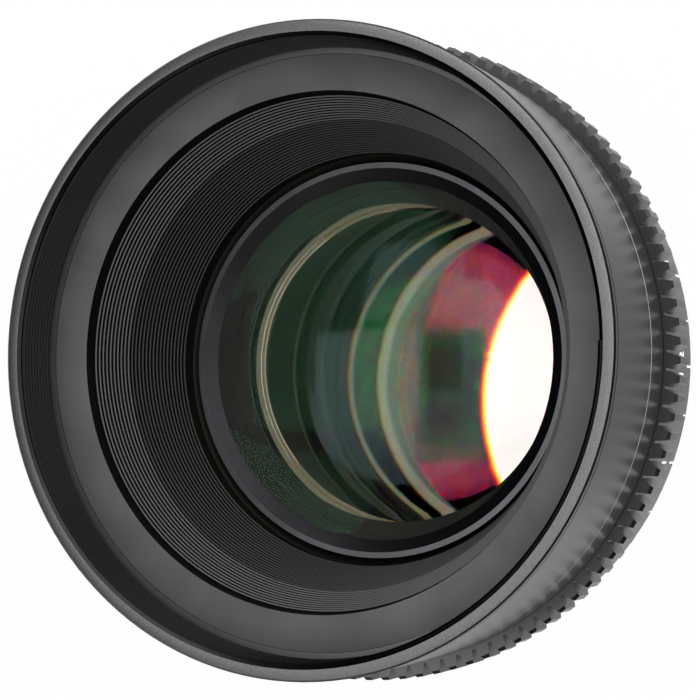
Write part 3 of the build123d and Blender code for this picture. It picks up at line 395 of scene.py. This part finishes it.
# %% Drive ring finish
def turned_ring(name, shade, roughness, anisotropy):
    """Dark anodised ring, brushed round its axis on the end faces."""
    material, tree, surface = new_material(name)
    coords, _, flat, radius = position_nodes(tree)
    marks = add(tree, "TexNoise", {"W": radius.outputs["Value"], "Scale": 1 / (0.06 * MM), "Detail": 2.0},
                noise_dimensions="1D")
    grit = add(tree, "TexNoise", {"Vector": coords.outputs["Object"], "Scale": 1 / (0.12 * MM),
                                  "Detail": 2.0})
    normal = add(tree, "NewGeometry")
    facing = add(tree, "SeparateXYZ", {0: normal.outputs["True Normal"]})
    end = add(tree, "Math", {0: facing.outputs["Z"]}, operation="ABSOLUTE")
    end = add(tree, "Math", {0: end.outputs[0], 1: 0.95}, operation="GREATER_THAN")
    pattern = add(tree, "MixRGB", {"Fac": end.outputs[0], "Color1": grit.outputs["Fac"],
                                   "Color2": marks.outputs["Fac"]})
    around = add(tree, "VectorMath", {0: (0, 0, 1), 1: flat.outputs[0]}, operation="CROSS_PRODUCT")
    tangent = add(tree, "VectorTransform", {0: around.outputs[0]}, vector_type="VECTOR",
                  convert_from="OBJECT", convert_to="WORLD")
    base = linear(shade)
    dark, light = scaled(base, 0.75), scaled(base, 1.3)
    colour = add(tree, "MixRGB", {"Fac": pattern.outputs[0], "Color1": dark, "Color2": light})
    bump = add(tree, "Bump", {"Height": pattern.outputs[0], "Distance": 0.003 * MM, "Strength": 1.0})
    metal = add(tree, "BsdfPrincipled", {"Base Color": colour.outputs[0], "Metallic": 1.0,
                                         "Roughness": roughness, "Anisotropic": anisotropy,
                                         "Tangent": tangent.outputs[0], "Normal": bump.outputs[0]})
    tree.links.new(metal.outputs[0], surface)
    return material


dress(turned_ring("turned_focus_ring", "#333334", 0.32, 0.8), "focus_ring")
dress(turned_ring("turned_iris_ring", "#333334", 0.32, 0.8), "iris_ring")
print("drive rings are dressed")

# %% [markdown]
# ## The ribbed baffle
#
# The two cones are cut into fine steps and blackened, so that light that strikes them isn't thrown
# back out of the lens. Each rib carries a painted highlight near its crest and painted shade in its root,
# and the mouth ahead of the first rib stays plain black. The depth tells where in a rib a point lies,
# so a fraction of the rib's pitch is enough to draw both.

# %% Baffle finish
first_cone, first_pitch = height(9.2), 0.62 * MM
second_cone, second_pitch = height(15.4), 0.7375 * MM
material, tree, surface = new_material("blackened_baffle")
coords = add(tree, "TexCoord")
axes = add(tree, "SeparateXYZ", {0: coords.outputs["Object"]})
below = add(tree, "Math", {0: first_cone, 1: axes.outputs["Z"]}, operation="SUBTRACT")
first = add(tree, "Math", {0: below.outputs[0], 1: first_pitch}, operation="DIVIDE")
deeper = add(tree, "Math", {0: second_cone, 1: axes.outputs["Z"]}, operation="SUBTRACT")
second = add(tree, "Math", {0: deeper.outputs[0], 1: second_pitch}, operation="DIVIDE")
rear = add(tree, "Math", {0: deeper.outputs[0], 1: 0.0}, operation="GREATER_THAN")
turns = add(tree, "MixRGB", {"Fac": rear.outputs[0], "Color1": first.outputs[0],
                             "Color2": second.outputs[0]})
rib_fraction = add(tree, "Math", {0: turns.outputs[0]}, operation="FRACT")
# Painted highlight near each crest and painted shade in the roots: only the last part of each rib is lighter.
crest = add(tree, "MapRange", {"Value": rib_fraction.outputs[0], "From Min": 0.82, "From Max": 0.88})
ribbed = add(tree, "Math", {0: below.outputs[0], 1: 0.0}, operation="GREATER_THAN")
crest = add(tree, "Math", {0: crest.outputs[0], 1: ribbed.outputs[0]}, operation="MULTIPLY")
# The painted highlight on the crests is brighter on the front cone than on the rear one.
crest_highlight = add(tree, "MixRGB", {"Fac": rear.outputs[0], "Color1": linear("#343434"),
                            "Color2": linear("#242424")})
colour = add(tree, "MixRGB", {"Fac": crest.outputs[0], "Color1": linear("#040404"),
                              "Color2": crest_highlight.outputs[0]})
black = add(tree, "BsdfPrincipled", {"Base Color": colour.outputs[0], "Roughness": 0.5,
                                     "Specular IOR Level": 0.0})
tree.links.new(black.outputs[0], surface)
dress(material, "ribbed_baffle")
print("baffle is dressed, second cone from z", round(second_cone / MM, 2))

# %% [markdown]
# ## Matt black parts
#
# What stands round the glass inside a lens is black too, or it would veil the picture. A weak
# reflection and a faint mottling keep these parts from looking like holes. Two thin lines in the bore
# of the front cell are left lighter, and they show through the front glass as arcs.

# %% Black finish
black_low, black_high = linear("#030302"), linear("#070704")
black_grain = 0.2


def black_coat(tree, colour):
    """Matt coat of this colour with a weak reflection."""
    return add(tree, "BsdfPrincipled", {"Base Color": colour.outputs[0], "Roughness": 0.5,
                                        "Specular IOR Level": 0.08})


material, tree, surface = new_material("matt_black_anodised")
coords = add(tree, "TexCoord")
coat = black_coat(tree, mottled(tree, coords, black_grain, black_low, black_high))
tree.links.new(coat.outputs[0], surface)
dress(material, "guide_sleeve", "cam_retaining_ring", "focus_cam", "doublet_nut",
      "rear_cell", "air_spacer", "rear_retainer", "iris_base_plate", "iris_actuator",
      "rear_light_guard")
print("matt black parts are dressed")

# %% Front cell
cell_bore_limit = 17.0 * MM
seat_line, seat_half_width = height(48.22), 0.06 * MM
groove_line, groove_half_width = height(52.2), 0.14 * MM
material, tree, surface = new_material("matt_black_cell")
coords, axes, _, radius = position_nodes(tree)
black = mottled(tree, coords, black_grain, black_low, black_high)
inner = add(tree, "Math", {0: radius.outputs["Value"], 1: cell_bore_limit}, operation="LESS_THAN")
seat = add(tree, "Math", {0: axes.outputs["Z"], 1: seat_line, 2: seat_half_width}, operation="COMPARE")
groove = add(tree, "Math", {0: axes.outputs["Z"], 1: groove_line, 2: groove_half_width},
             operation="COMPARE")
turned = add(tree, "Math", {0: seat.outputs[0], 1: groove.outputs[0]}, operation="MAXIMUM")
bright = add(tree, "Math", {0: turned.outputs[0], 1: inner.outputs[0]}, operation="MULTIPLY")
colour = add(tree, "MixRGB", {"Fac": bright.outputs[0], "Color1": black.outputs[0],
                              "Color2": linear("#4a463a")})
coat = black_coat(tree, colour)
tree.links.new(coat.outputs[0], surface)
dress(material, "front_cell")
print("cell lines at z", round(seat_line / MM, 2), "and", round(groove_line / MM, 2))

# %% [markdown]
# ## The bright spacer
#
# The spacer behind the second cemented pair is left in bare satin metal, so it shows pale through the
# glasses.

# %% Spacer finish
material, tree, surface = new_material("satin_spacer")
coords = add(tree, "TexCoord")
colour = mottled(tree, coords, 0.15, linear("#c4bca6"), linear("#d2cab4"))
coat = add(tree, "BsdfPrincipled", {"Base Color": colour.outputs[0], "Roughness": 0.6})
tree.links.new(coat.outputs[0], surface)
dress(material, "doublet_spacer")
print("spacer is dressed")

# %% [markdown]
# ## Coated glass
#
# Optical glass is clear, and a coating turns the little light that each face mirrors green, rose or red.
# A shader that bends light is added to a faint mirror in the coating's colour. The object's own normal
# tells the front face from the rear one, and Backfacing corrects it for a ray that leaves the glass,
# because the normal is turned round there. Where two elements are cemented, no air lies between them:
# the first lets light through unbent, and the second bends it by the ratio of the two indices. The first
# of these joints also splits the colours a little, for a fringe such as real glass gives: orange along
# the edge of the bright crescent. Lamp light passes straight through, since bent lamp light would take
# far longer to gather.

# %% Glass
def coated_glass(name, ior, front, back, ahead=0.0, cemented_back=False, spread=0.0):
    """Clear glass. Each coating is the colour and the share of the light that it mirrors. Ahead is the
    index of the glass cemented to the front face, and spread is how far apart it bends the colours."""
    material, tree, surface = new_material(name)
    clear = (0.995, 0.995, 0.99, 1)
    fringe_roughness = 0.08
    coords = add(tree, "TexCoord")
    normal = add(tree, "SeparateXYZ", {0: coords.outputs["Normal"]})
    face = add(tree, "NewGeometry")
    below = add(tree, "Math", {0: normal.outputs["Z"], 1: 0.0}, operation="LESS_THAN")
    apart = add(tree, "Math", {0: below.outputs[0], 1: face.outputs["Backfacing"]}, operation="SUBTRACT")
    behind = add(tree, "Math", {0: apart.outputs[0]}, operation="ABSOLUTE")
    tints = [scaled(linear(shade), share) for shade, share in (front, back)]
    coating = add(tree, "MixRGB", {"Fac": behind.outputs[0], "Color1": tints[0], "Color2": tints[1]})
    bent = add(tree, "BsdfRefraction", {"Color": clear, "IOR": ior, "Roughness": 0.0})
    if cemented_back:
        through = add(tree, "BsdfTransparent", {"Color": (1, 1, 1, 1)})
        bent = add(tree, "MixShader", {0: behind.outputs[0], 1: bent.outputs[0], 2: through.outputs[0]})
    if ahead:
        joint = add(tree, "BsdfRefraction", {"Color": clear, "IOR": ior / ahead, "Roughness": 0.0})
        if spread:
            bands = [((clear[0], 0, 0, 1), -spread), ((0, clear[1], 0, 1), 0.0),
                     ((0, 0, clear[2], 1), spread)]
            red, green, blue = [add(tree, "BsdfRefraction", {"Color": band, "IOR": ior / (ahead + shift),
                                                             "Roughness": fringe_roughness})
                                for band, shift in bands]
            split = add(tree, "AddShader", {0: red.outputs[0], 1: green.outputs[0]})
            split = add(tree, "AddShader", {0: split.outputs[0], 1: blue.outputs[0]})
            joint = add(tree, "MixShader", {0: face.outputs["Backfacing"], 1: split.outputs[0],
                                            2: joint.outputs[0]})
        bent = add(tree, "MixShader", {0: behind.outputs[0], 1: joint.outputs[0], 2: bent.outputs[0]})
    shine = add(tree, "BsdfAnisotropic", {"Color": coating.outputs[0], "Roughness": 0.0})
    glass = add(tree, "AddShader", {0: bent.outputs[0], 1: shine.outputs[0]})
    straight = add(tree, "BsdfTransparent", {"Color": (0.94, 0.94, 0.94, 1)})
    path = add(tree, "LightPath")
    lamp = add(tree, "MixShader", {0: path.outputs["Is Shadow Ray"], 1: glass.outputs[0],
                                   2: straight.outputs[0]})
    tree.links.new(lamp.outputs[0], surface)
    return material


bare = ("#ffffff", 0.0)
dense, second_index, third_index, fourth_index = 1.86, 1.534, 1.855, 1.653
dress(coated_glass("teal_coated_glass", dense, ("#d5fcff", 0.0083), ("#94ffbc", 0.0035)), "front_element")
dress(coated_glass("clear_cement_glass", second_index, bare, bare, cemented_back=True), "second_element")
dress(coated_glass("rose_coated_glass", third_index, bare, ("#ff0071", 0.0024), ahead=second_index,
                   spread=0.011), "third_element")
dress(coated_glass("green_coated_glass", fourth_index, ("#76ff8b", 0.0085), bare, cemented_back=True),
      "fourth_element")
dress(coated_glass("lime_coated_glass", dense, bare, ("#00ffe3", 0.0026), ahead=fourth_index),
      "fifth_element")
dress(coated_glass("crimson_coated_glass", dense, ("#ff92b5", 0.0167), ("#ff0000", 0.0021)),
      "sixth_element")
dress(coated_glass("ruby_coated_glass", dense, ("#ff407a", 0.0550), bare), "rear_element")
bpy.context.scene.cycles.max_bounces = 32
bpy.context.scene.cycles.transmission_bounces = 32
bpy.context.scene.cycles.glossy_bounces = 12
print("glass is dressed")

# %% [markdown]
# ## Steel, brass and blackened parts
#
# The bayonet is turned from stainless steel, the fork and rollers from brass, and the blades are
# spring steel with a black coat. Most of this is seen from behind or through the glass only.

# %% Metals
def turned_metal(name, shade, roughness, mark=0.08):
    """Bright turned metal with tool marks this many millimetres apart."""
    material, tree, surface = new_material(name)
    _, axes, _, radius = position_nodes(tree)
    along = add(tree, "Math", {0: radius.outputs["Value"], 1: axes.outputs["Z"]}, operation="ADD")
    marks = add(tree, "TexNoise", {"W": along.outputs[0], "Scale": 1 / (mark * MM), "Detail": 2.0},
                noise_dimensions="1D")
    dull = add(tree, "MapRange", {"Value": marks.outputs["Fac"], "To Min": roughness - 0.08,
                                  "To Max": roughness + 0.08})
    bump = add(tree, "Bump", {"Height": marks.outputs["Fac"], "Distance": 0.002 * MM})
    metal = add(tree, "BsdfPrincipled", {"Base Color": linear(shade), "Metallic": 1.0,
                                         "Roughness": dull.outputs[0], "Normal": bump.outputs[0]})
    tree.links.new(metal.outputs[0], surface)
    return material


dress(turned_metal("turned_stainless_steel", "#c8c6c2", 0.28), "bayonet_mount")
dress(turned_metal("turned_brass", "#b8935a", 0.3), "iris_fork", "cam_rollers")
blackened_steel = turned_metal("blackened_screw_steel", "#4a4a4c", 0.32, mark=0.1)
dress(blackened_steel, "guide_screws", "focus_drive_screws", "roller_screws", "fork_screws",
      "grub_screws", "mount_screws")
dress(turned_metal("black_blade_coat", "#2a2a2b", 0.45, mark=0.2), *[f"iris_blade_{i}" for i in range(1, 9)])
print("metals are dressed")

# %% [markdown]
# ## The filter thread
#
# Filters screw into a fine thread of 0.75 mm pitch inside the rim. A real one is cut by a tool that
# follows a helix, and the Screw modifier does just that: it winds one small outline round the axis.
# The outline is a square bar with its inner edge drawn out to a crest.

# %% Thread
pitch = 0.75
thread_pitch = pitch * MM
thread_turns = 9
thread_start = 0.6
steps_per_turn = 160
bar_depth = 0.5 * MM
bar_middle = thread_root + bar_depth / 2
bpy.ops.object.select_all(action="DESELECT")
bpy.ops.mesh.primitive_plane_add(size=1, location=(0, 0, 0))
thread = bpy.context.object
thread.name = "filter_thread"
bpy.ops.object.mode_set(mode="EDIT")
bpy.ops.mesh.select_all(action="SELECT")
bpy.ops.transform.rotate(value=math.radians(90), orient_axis="X", center_override=(0, 0, 0))
bpy.ops.transform.resize(value=(bar_depth, 1, thread_pitch * 0.99), center_override=(0, 0, 0))
bpy.ops.transform.translate(value=(bar_middle, 0, 0))
bpy.ops.mesh.select_all(action="DESELECT")
bpy.ops.object.mode_set(mode="OBJECT")
for edge in thread.data.edges:
    edge.select = all(thread.data.vertices[v].co.x < bar_middle for v in edge.vertices)
for vertex in thread.data.vertices:
    vertex.select = vertex.co.x < bar_middle
bpy.ops.object.mode_set(mode="EDIT")
bpy.ops.mesh.subdivide(number_cuts=4)
# The four middle points of the inner edge spread to the feet of the flanks. Then the inner two of them
# draw together again, to the narrow crest, and only they move in.
for half_height, stretch in ((0.35, 0.375 / 0.3), (0.15, 0.0625 / 0.1)):
    bpy.ops.mesh.select_all(action="DESELECT")
    bpy.ops.object.mode_set(mode="OBJECT")
    for vertex in thread.data.vertices:
        vertex.select = vertex.co.x < bar_middle and abs(vertex.co.z) < thread_pitch * half_height
    bpy.ops.object.mode_set(mode="EDIT")
    bpy.ops.transform.resize(value=(1, 1, stretch), center_override=(0, 0, 0))
bpy.ops.transform.translate(value=(thread_crest - thread_root, 0, 0))
bpy.ops.mesh.select_all(action="SELECT")
bpy.ops.transform.translate(value=(0, 0, height(thread_start + thread_turns * pitch)))
bpy.ops.object.mode_set(mode="OBJECT")
wind = thread.modifiers.new("wind", "SCREW")
wind.axis, wind.angle = "Z", 2 * math.pi
wind.screw_offset, wind.iterations = thread_pitch, thread_turns
wind.steps = steps_per_turn
wind.render_steps = steps_per_turn
bpy.ops.object.modifier_apply(modifier="wind")
bpy.ops.object.mode_set(mode="EDIT")
bpy.ops.mesh.select_all(action="SELECT")
bpy.ops.mesh.fill_holes(sides=5)
bpy.ops.mesh.select_all(action="SELECT")
bpy.ops.mesh.normals_make_consistent(inside=False)
bpy.ops.object.mode_set(mode="OBJECT")
material, tree, surface = new_material("black_thread")
black = add(tree, "BsdfPrincipled", {"Base Color": linear("#0e0e0e"), "Metallic": 1.0, "Roughness": 0.28})
tree.links.new(black.outputs[0], surface)
thread.data.materials.append(material)
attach(thread, "fixed_barrel")
levels = [vertex.co.z / MM for vertex in thread.data.vertices]
print("thread has", len(thread.data.polygons), "faces, z", round(min(levels), 2), "to", round(max(levels), 2))

# %% [markdown]
# ## Ground bevels
#
# The sharp rim of a deep glass bowl is ground away to a small frosted bevel. It catches the studio
# lamps and shows through the front glass as the long pale arcs. A flat ring of ground glass, set right
# against the flat round each bowl, stands for it.

# %% Bevels
def ground_ring(name, inner, outer, top, thickness, shade):
    """Thin ring of ground glass, flat across the axis."""
    bpy.ops.object.select_all(action="DESELECT")
    bpy.ops.mesh.primitive_circle_add(vertices=160, radius=inner, location=(0, 0, 0))
    ring = bpy.context.object
    ring.name = name
    bpy.ops.object.mode_set(mode="EDIT")
    bpy.ops.mesh.select_all(action="SELECT")
    bpy.ops.mesh.extrude_region_move()
    bpy.ops.transform.resize(value=(outer / inner, outer / inner, 1), center_override=(0, 0, 0))
    bpy.ops.mesh.select_all(action="SELECT")
    bpy.ops.mesh.extrude_region_move(TRANSFORM_OT_translate={"value": (0, 0, -thickness)})
    bpy.ops.mesh.select_all(action="SELECT")
    bpy.ops.transform.translate(value=(0, 0, top))
    bpy.ops.mesh.normals_make_consistent(inside=False)
    bpy.ops.object.mode_set(mode="OBJECT")
    material, tree, surface = new_material(name + "_frost")
    coords = add(tree, "TexCoord")
    light = linear(shade)
    colour = mottled(tree, coords, 0.3, scaled(light, 0.8), light)
    matt = add(tree, "BsdfDiffuse", {"Color": colour.outputs[0]})
    tree.links.new(matt.outputs[0], surface)
    ring.data.materials.append(material)
    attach(ring, "optical_unit")


bevel_thickness = 0.1 * MM
third_top = height(48.24)
fourth_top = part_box("fourth_element")[1][2] + 0.11 * MM
third_inner, third_outer = 15.6 * MM, 16.1 * MM
fourth_inner, fourth_outer = 14.8 * MM, 15.3 * MM
ground_ring("third_element_bevel", third_inner, third_outer, third_top, bevel_thickness, "#504b3e")
ground_ring("fourth_element_bevel", fourth_inner, fourth_outer, fourth_top, bevel_thickness, "#6a6452")
print("bevels at z", round(third_top / MM, 2), "and", round(fourth_top / MM, 2))

# %% [markdown]
# ## Painted scales
#
# The numbers on a lens are engraved and filled with paint. Here each one is flat text made into a mesh,
# stood up on its ring, wrapped onto it with a Shrinkwrap modifier and given the thickness of a coat of
# paint with Solidify. The values are plain distances in metres and plain iris steps. At rest the ring
# stands at infinity with the iris wide open, so both scales run away from the top index.

# %% Paint
def paint(name, shade):
    """Slightly uneven matt paint."""
    material, tree, surface = new_material(name)
    coords = add(tree, "TexCoord")
    full = linear(shade)
    colour = mottled(tree, coords, 0.4, scaled(full, 0.82), full)
    coat = add(tree, "BsdfPrincipled", {"Base Color": colour.outputs[0], "Roughness": 0.55})
    tree.links.new(coat.outputs[0], surface)
    return material


white_paint, red_paint = paint("white_scale_paint", "#dcdcd8"), paint("red_mark_paint", "#c01818")
print("paints:", white_paint.name, red_paint.name)

# %% Putting a mark on a ring
def stand(piece, radius, angle, depth):
    """Stand a flat outline on a ring, facing outwards with its top to the front of the lens."""
    turn = math.radians(angle)
    piece.location = (radius * math.cos(turn), radius * math.sin(turn), height(depth))
    piece.rotation_euler = (math.radians(90), 0, turn + math.radians(90))
    bpy.ops.object.transform_apply(location=True, rotation=True, scale=True)


def lay(piece, ring, thickness=0.03 * MM):
    """Wrap an outline onto a ring and give it the thickness of paint."""
    wrap = piece.modifiers.new("wrap", "SHRINKWRAP")
    wrap.target, wrap.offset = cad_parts[ring], thickness
    coat = piece.modifiers.new("coat", "SOLIDIFY")
    coat.thickness, coat.offset = thickness, 0
    bpy.ops.object.modifier_apply(modifier="wrap")
    bpy.ops.object.modifier_apply(modifier="coat")


# %% Numbers and lines
def number(body, size, radius, angle, depth, ring):
    """Painted number."""
    bpy.ops.object.select_all(action="DESELECT")
    bpy.ops.object.text_add(location=(0, 0, 0))
    piece = bpy.context.object
    piece.data.body, piece.data.size = body, size
    piece.data.align_x, piece.data.align_y = "CENTER", "CENTER"
    bpy.ops.object.convert(target="MESH")
    piece = bpy.context.object
    stand(piece, radius, angle, depth)
    lay(piece, ring)
    return piece


def tick(width, length, radius, angle, depth, ring):
    """Painted line along the lens."""
    bpy.ops.object.select_all(action="DESELECT")
    bpy.ops.mesh.primitive_plane_add(size=1, location=(0, 0, 0))
    piece = bpy.context.object
    bpy.ops.object.mode_set(mode="EDIT")
    bpy.ops.mesh.select_all(action="SELECT")
    bpy.ops.transform.resize(value=(width, length, 1), center_override=(0, 0, 0))
    bpy.ops.mesh.subdivide(number_cuts=2)
    bpy.ops.object.mode_set(mode="OBJECT")
    stand(piece, radius, angle, depth)
    lay(piece, ring)
    return piece


# %% Joining
def join(name, pieces, material, body):
    """Make one piece of several, with one material, on a body and in a slot."""
    bpy.ops.object.select_all(action="DESELECT")
    for piece in pieces:
        piece.select_set(True)
    bpy.context.view_layer.objects.active = pieces[0]
    bpy.ops.object.join()
    joined = bpy.context.object
    joined.name = name
    joined.data.materials.clear()
    joined.data.materials.append(material)
    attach(joined, body)
    print(name, "has", len(joined.data.polygons), "faces")
    return joined


# %% Focus scale
top_angle = 90.0
distances = [("\u221e", 0), ("10", 14), ("5", 27), ("3", 41), ("2", 58), ("1.5", 75), ("1.2", 92), ("1", 110),
             ("0.9", 130), ("0.8", 150)]
number_size = 3.4 * MM
number_depth, long_depth, short_depth = 34.2, 38.4, 38.8
marks = [number(body, number_size, focus_band_radius, top_angle - turn, number_depth, "focus_ring")
         for body, turn in distances]
marks += [tick(0.3 * MM, 2.0 * MM, focus_band_radius, top_angle - turn, long_depth, "focus_ring")
          for _, turn in distances]
for (_, turn), (_, beyond) in zip(distances, distances[1:]):
    halfway = (turn + beyond) / 2
    marks.append(tick(0.2 * MM, 1.2 * MM, focus_band_radius, top_angle - halfway, short_depth, "focus_ring"))
join("focus_scale", marks, white_paint, "focus_group")

# %% Iris scale
steps = ["1.4", "2", "2.8", "4", "5.6", "8", "11", "16", "22"]
step_turn = 7.5
number_size = 2.5 * MM
number_depth, tick_depth = 51.2, 48.9
marks = [number(body, number_size, iris_band_radius, top_angle - index * step_turn, number_depth, "iris_ring")
         for index, body in enumerate(steps)]
marks += [tick(0.25 * MM, 1.2 * MM, iris_band_radius, top_angle - index * step_turn, tick_depth, "iris_ring")
          for index in range(len(steps))]
join("iris_scale", marks, white_paint, "iris_group")

# %% Index lines
front_line_radius, front_line_depth = 42.2 * MM, 42.4
rear_line_radius, rear_line_depth = 40.2 * MM, 46.4
marks = [tick(0.35 * MM, 3.0 * MM, front_line_radius, top_angle, front_line_depth, "index_ring"),
         tick(0.35 * MM, 1.6 * MM, rear_line_radius, top_angle, rear_line_depth, "index_ring")]
join("index_lines", marks, white_paint, "fixed_barrel")

# %% Mount mark
dot_radius, dot_flattening = 0.9 * MM, 0.35
dot_circle, dot_depth = 34.0 * MM, 78.0
bpy.ops.object.select_all(action="DESELECT")
bpy.ops.mesh.primitive_uv_sphere_add(segments=24, ring_count=16, radius=dot_radius, location=(0, 0, 0))
dot = bpy.context.object
bpy.ops.object.mode_set(mode="EDIT")
bpy.ops.mesh.select_all(action="SELECT")
bpy.ops.transform.resize(value=(1, 1, dot_flattening), center_override=(0, 0, 0))
bpy.ops.object.mode_set(mode="OBJECT")
stand(dot, dot_circle, top_angle, dot_depth)
bpy.ops.object.shade_smooth()
join("mount_dot", [dot], red_paint, "fixed_barrel")

# %% [markdown]
# ## Screws with their sockets
#
# The mount is held by cross-recessed screws and the small screws on the sides have hexagon sockets. A
# cylinder is drawn out to a shank by inset and extrude, its edges are rounded, and a Boolean cuts the
# recess. One screw of each kind is modelled, then copied with its own mesh and turned to each place.

# %% Screw helpers
def screw(name, head_radius, head_height, shank_radius, length, cross, across, recess):
    """Screw along Z, with the face of its head at the origin."""
    bpy.ops.object.select_all(action="DESELECT")
    bpy.ops.mesh.primitive_cylinder_add(vertices=48, radius=head_radius, depth=head_height,
                                        location=(0, 0, 0))
    piece = bpy.context.object
    piece.name = name
    for face in piece.data.polygons:
        face.select = face.normal.z < -0.9
    bpy.ops.object.mode_set(mode="EDIT")
    bpy.ops.mesh.select_mode(type="FACE")
    if shank_radius < head_radius:
        bpy.ops.mesh.inset(thickness=head_radius - shank_radius)
    bpy.ops.mesh.extrude_region_move(TRANSFORM_OT_translate={"value": (0, 0, head_height - length)})
    bpy.ops.mesh.select_all(action="SELECT")
    bpy.ops.transform.translate(value=(0, 0, -head_height / 2))
    bpy.ops.object.mode_set(mode="OBJECT")
    edge = piece.modifiers.new("edge", "BEVEL")
    edge.width, edge.segments = 0.1 * MM, 2
    edge.limit_method, edge.angle_limit = "ANGLE", math.radians(50)
    bpy.ops.object.modifier_apply(modifier="edge")
    for turn in ((0, 90) if cross else (0,)):
        bpy.ops.object.select_all(action="DESELECT")
        if cross:
            bpy.ops.mesh.primitive_cube_add(size=1, location=(0, 0, 0))
            size = (across, across * 0.26, recess * 2)
        else:
            bpy.ops.mesh.primitive_cylinder_add(vertices=6, radius=across / math.sqrt(3), depth=recess * 2,
                                                location=(0, 0, 0))
            size = (1, 1, 1)
        cutter = bpy.context.object
        bpy.ops.object.mode_set(mode="EDIT")
        bpy.ops.mesh.select_all(action="SELECT")
        bpy.ops.transform.resize(value=size, center_override=(0, 0, 0))
        bpy.ops.transform.rotate(value=math.radians(turn), orient_axis="Z", center_override=(0, 0, 0))
        bpy.ops.object.mode_set(mode="OBJECT")
        bpy.ops.object.select_all(action="DESELECT")
        piece.select_set(True)
        bpy.context.view_layer.objects.active = piece
        cut = piece.modifiers.new("cut", "BOOLEAN")
        cut.operation, cut.object, cut.solver = "DIFFERENCE", cutter, "EXACT"
        bpy.ops.object.modifier_apply(modifier="cut")
        bpy.data.objects.remove(cutter)
    bpy.ops.object.shade_smooth_by_angle(angle=math.radians(35))
    return piece


# %% Placing screws
def place_screws(first, places, node, body):
    """Copies of a screw at each (place, outward direction). They stand for one CAD node."""
    copies = []
    for place, outward in places:
        copy = first.copy()
        copy.data = first.data.copy()
        bpy.context.scene.collection.objects.link(copy)
        copy.matrix_world = Matrix.Translation(place) @ outward.to_track_quat("Z", "Y").to_matrix().to_4x4()
        copies.append(copy)
    bpy.ops.object.select_all(action="DESELECT")
    for copy in copies:
        copy.select_set(True)
    bpy.context.view_layer.objects.active = copies[0]
    bpy.ops.object.transform_apply(location=True, rotation=True, scale=True)
    bpy.data.objects.remove(first)
    joined = join(node + "_detailed", copies, blackened_steel, body)
    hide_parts(node)


def reach(node, direction, aside=1.6 * MM):
    """Nearest and farthest distance from the axis of what a node has in this direction."""
    across = Vector((-direction.y, direction.x, 0))
    steps = [v.co.dot(direction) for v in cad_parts[node].data.vertices
             if v.co.dot(direction) > 0 and abs(v.co.dot(across)) < aside]
    return min(steps), max(steps)


# %% Mount screws
screw_circle = 29.6 * MM
low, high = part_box("mount_screws")
mount_screw = screw("mount_screw", head_radius=1.5 * MM, head_height=1.2 * MM, shank_radius=0.8 * MM,
                    length=high[2] - low[2], cross=True, across=1.7 * MM, recess=0.7 * MM)
angles = [math.radians(45 + 90 * k) for k in range(4)]
places = [(Vector((screw_circle * math.cos(a), screw_circle * math.sin(a), low[2])), Vector((0, 0, -1)))
          for a in angles]
place_screws(mount_screw, places, "mount_screws", "fixed_barrel")

# %% Grub screws
grub_height = height(62.64)
inner, outer = reach("grub_screws", Vector((0, 1, 0)))
grub_screw = screw("grub_screw", head_radius=1.0 * MM, head_height=0.6 * MM, shank_radius=1.0 * MM,
                   length=outer - inner, cross=False, across=0.9 * MM, recess=0.6 * MM)
angles = [math.radians(90 + 120 * k) for k in range(3)]
ways = [Vector((math.cos(a), math.sin(a), 0)) for a in angles]
places = [(way * outer + Vector((0, 0, grub_height)), way) for way in ways]
place_screws(grub_screw, places, "grub_screws", "fixed_barrel")

# %% Fork screws
fork_height, fork_angle, screw_offset = height(50.49), math.radians(200), 2.7
way = Vector((math.cos(fork_angle), math.sin(fork_angle), 0))
beside = Vector((-way.y, way.x, 0))
inner, outer = reach("fork_screws", way, 4.5 * MM)
fork_screw = screw("fork_screw", head_radius=1.3 * MM, head_height=0.8 * MM, shank_radius=0.7 * MM,
                   length=outer - inner, cross=False, across=1.1 * MM, recess=0.5 * MM)
places = [(way * outer + beside * side * screw_offset * MM + Vector((0, 0, fork_height)), way)
          for side in (-1, 1)]
place_screws(fork_screw, places, "fork_screws", "iris_group")
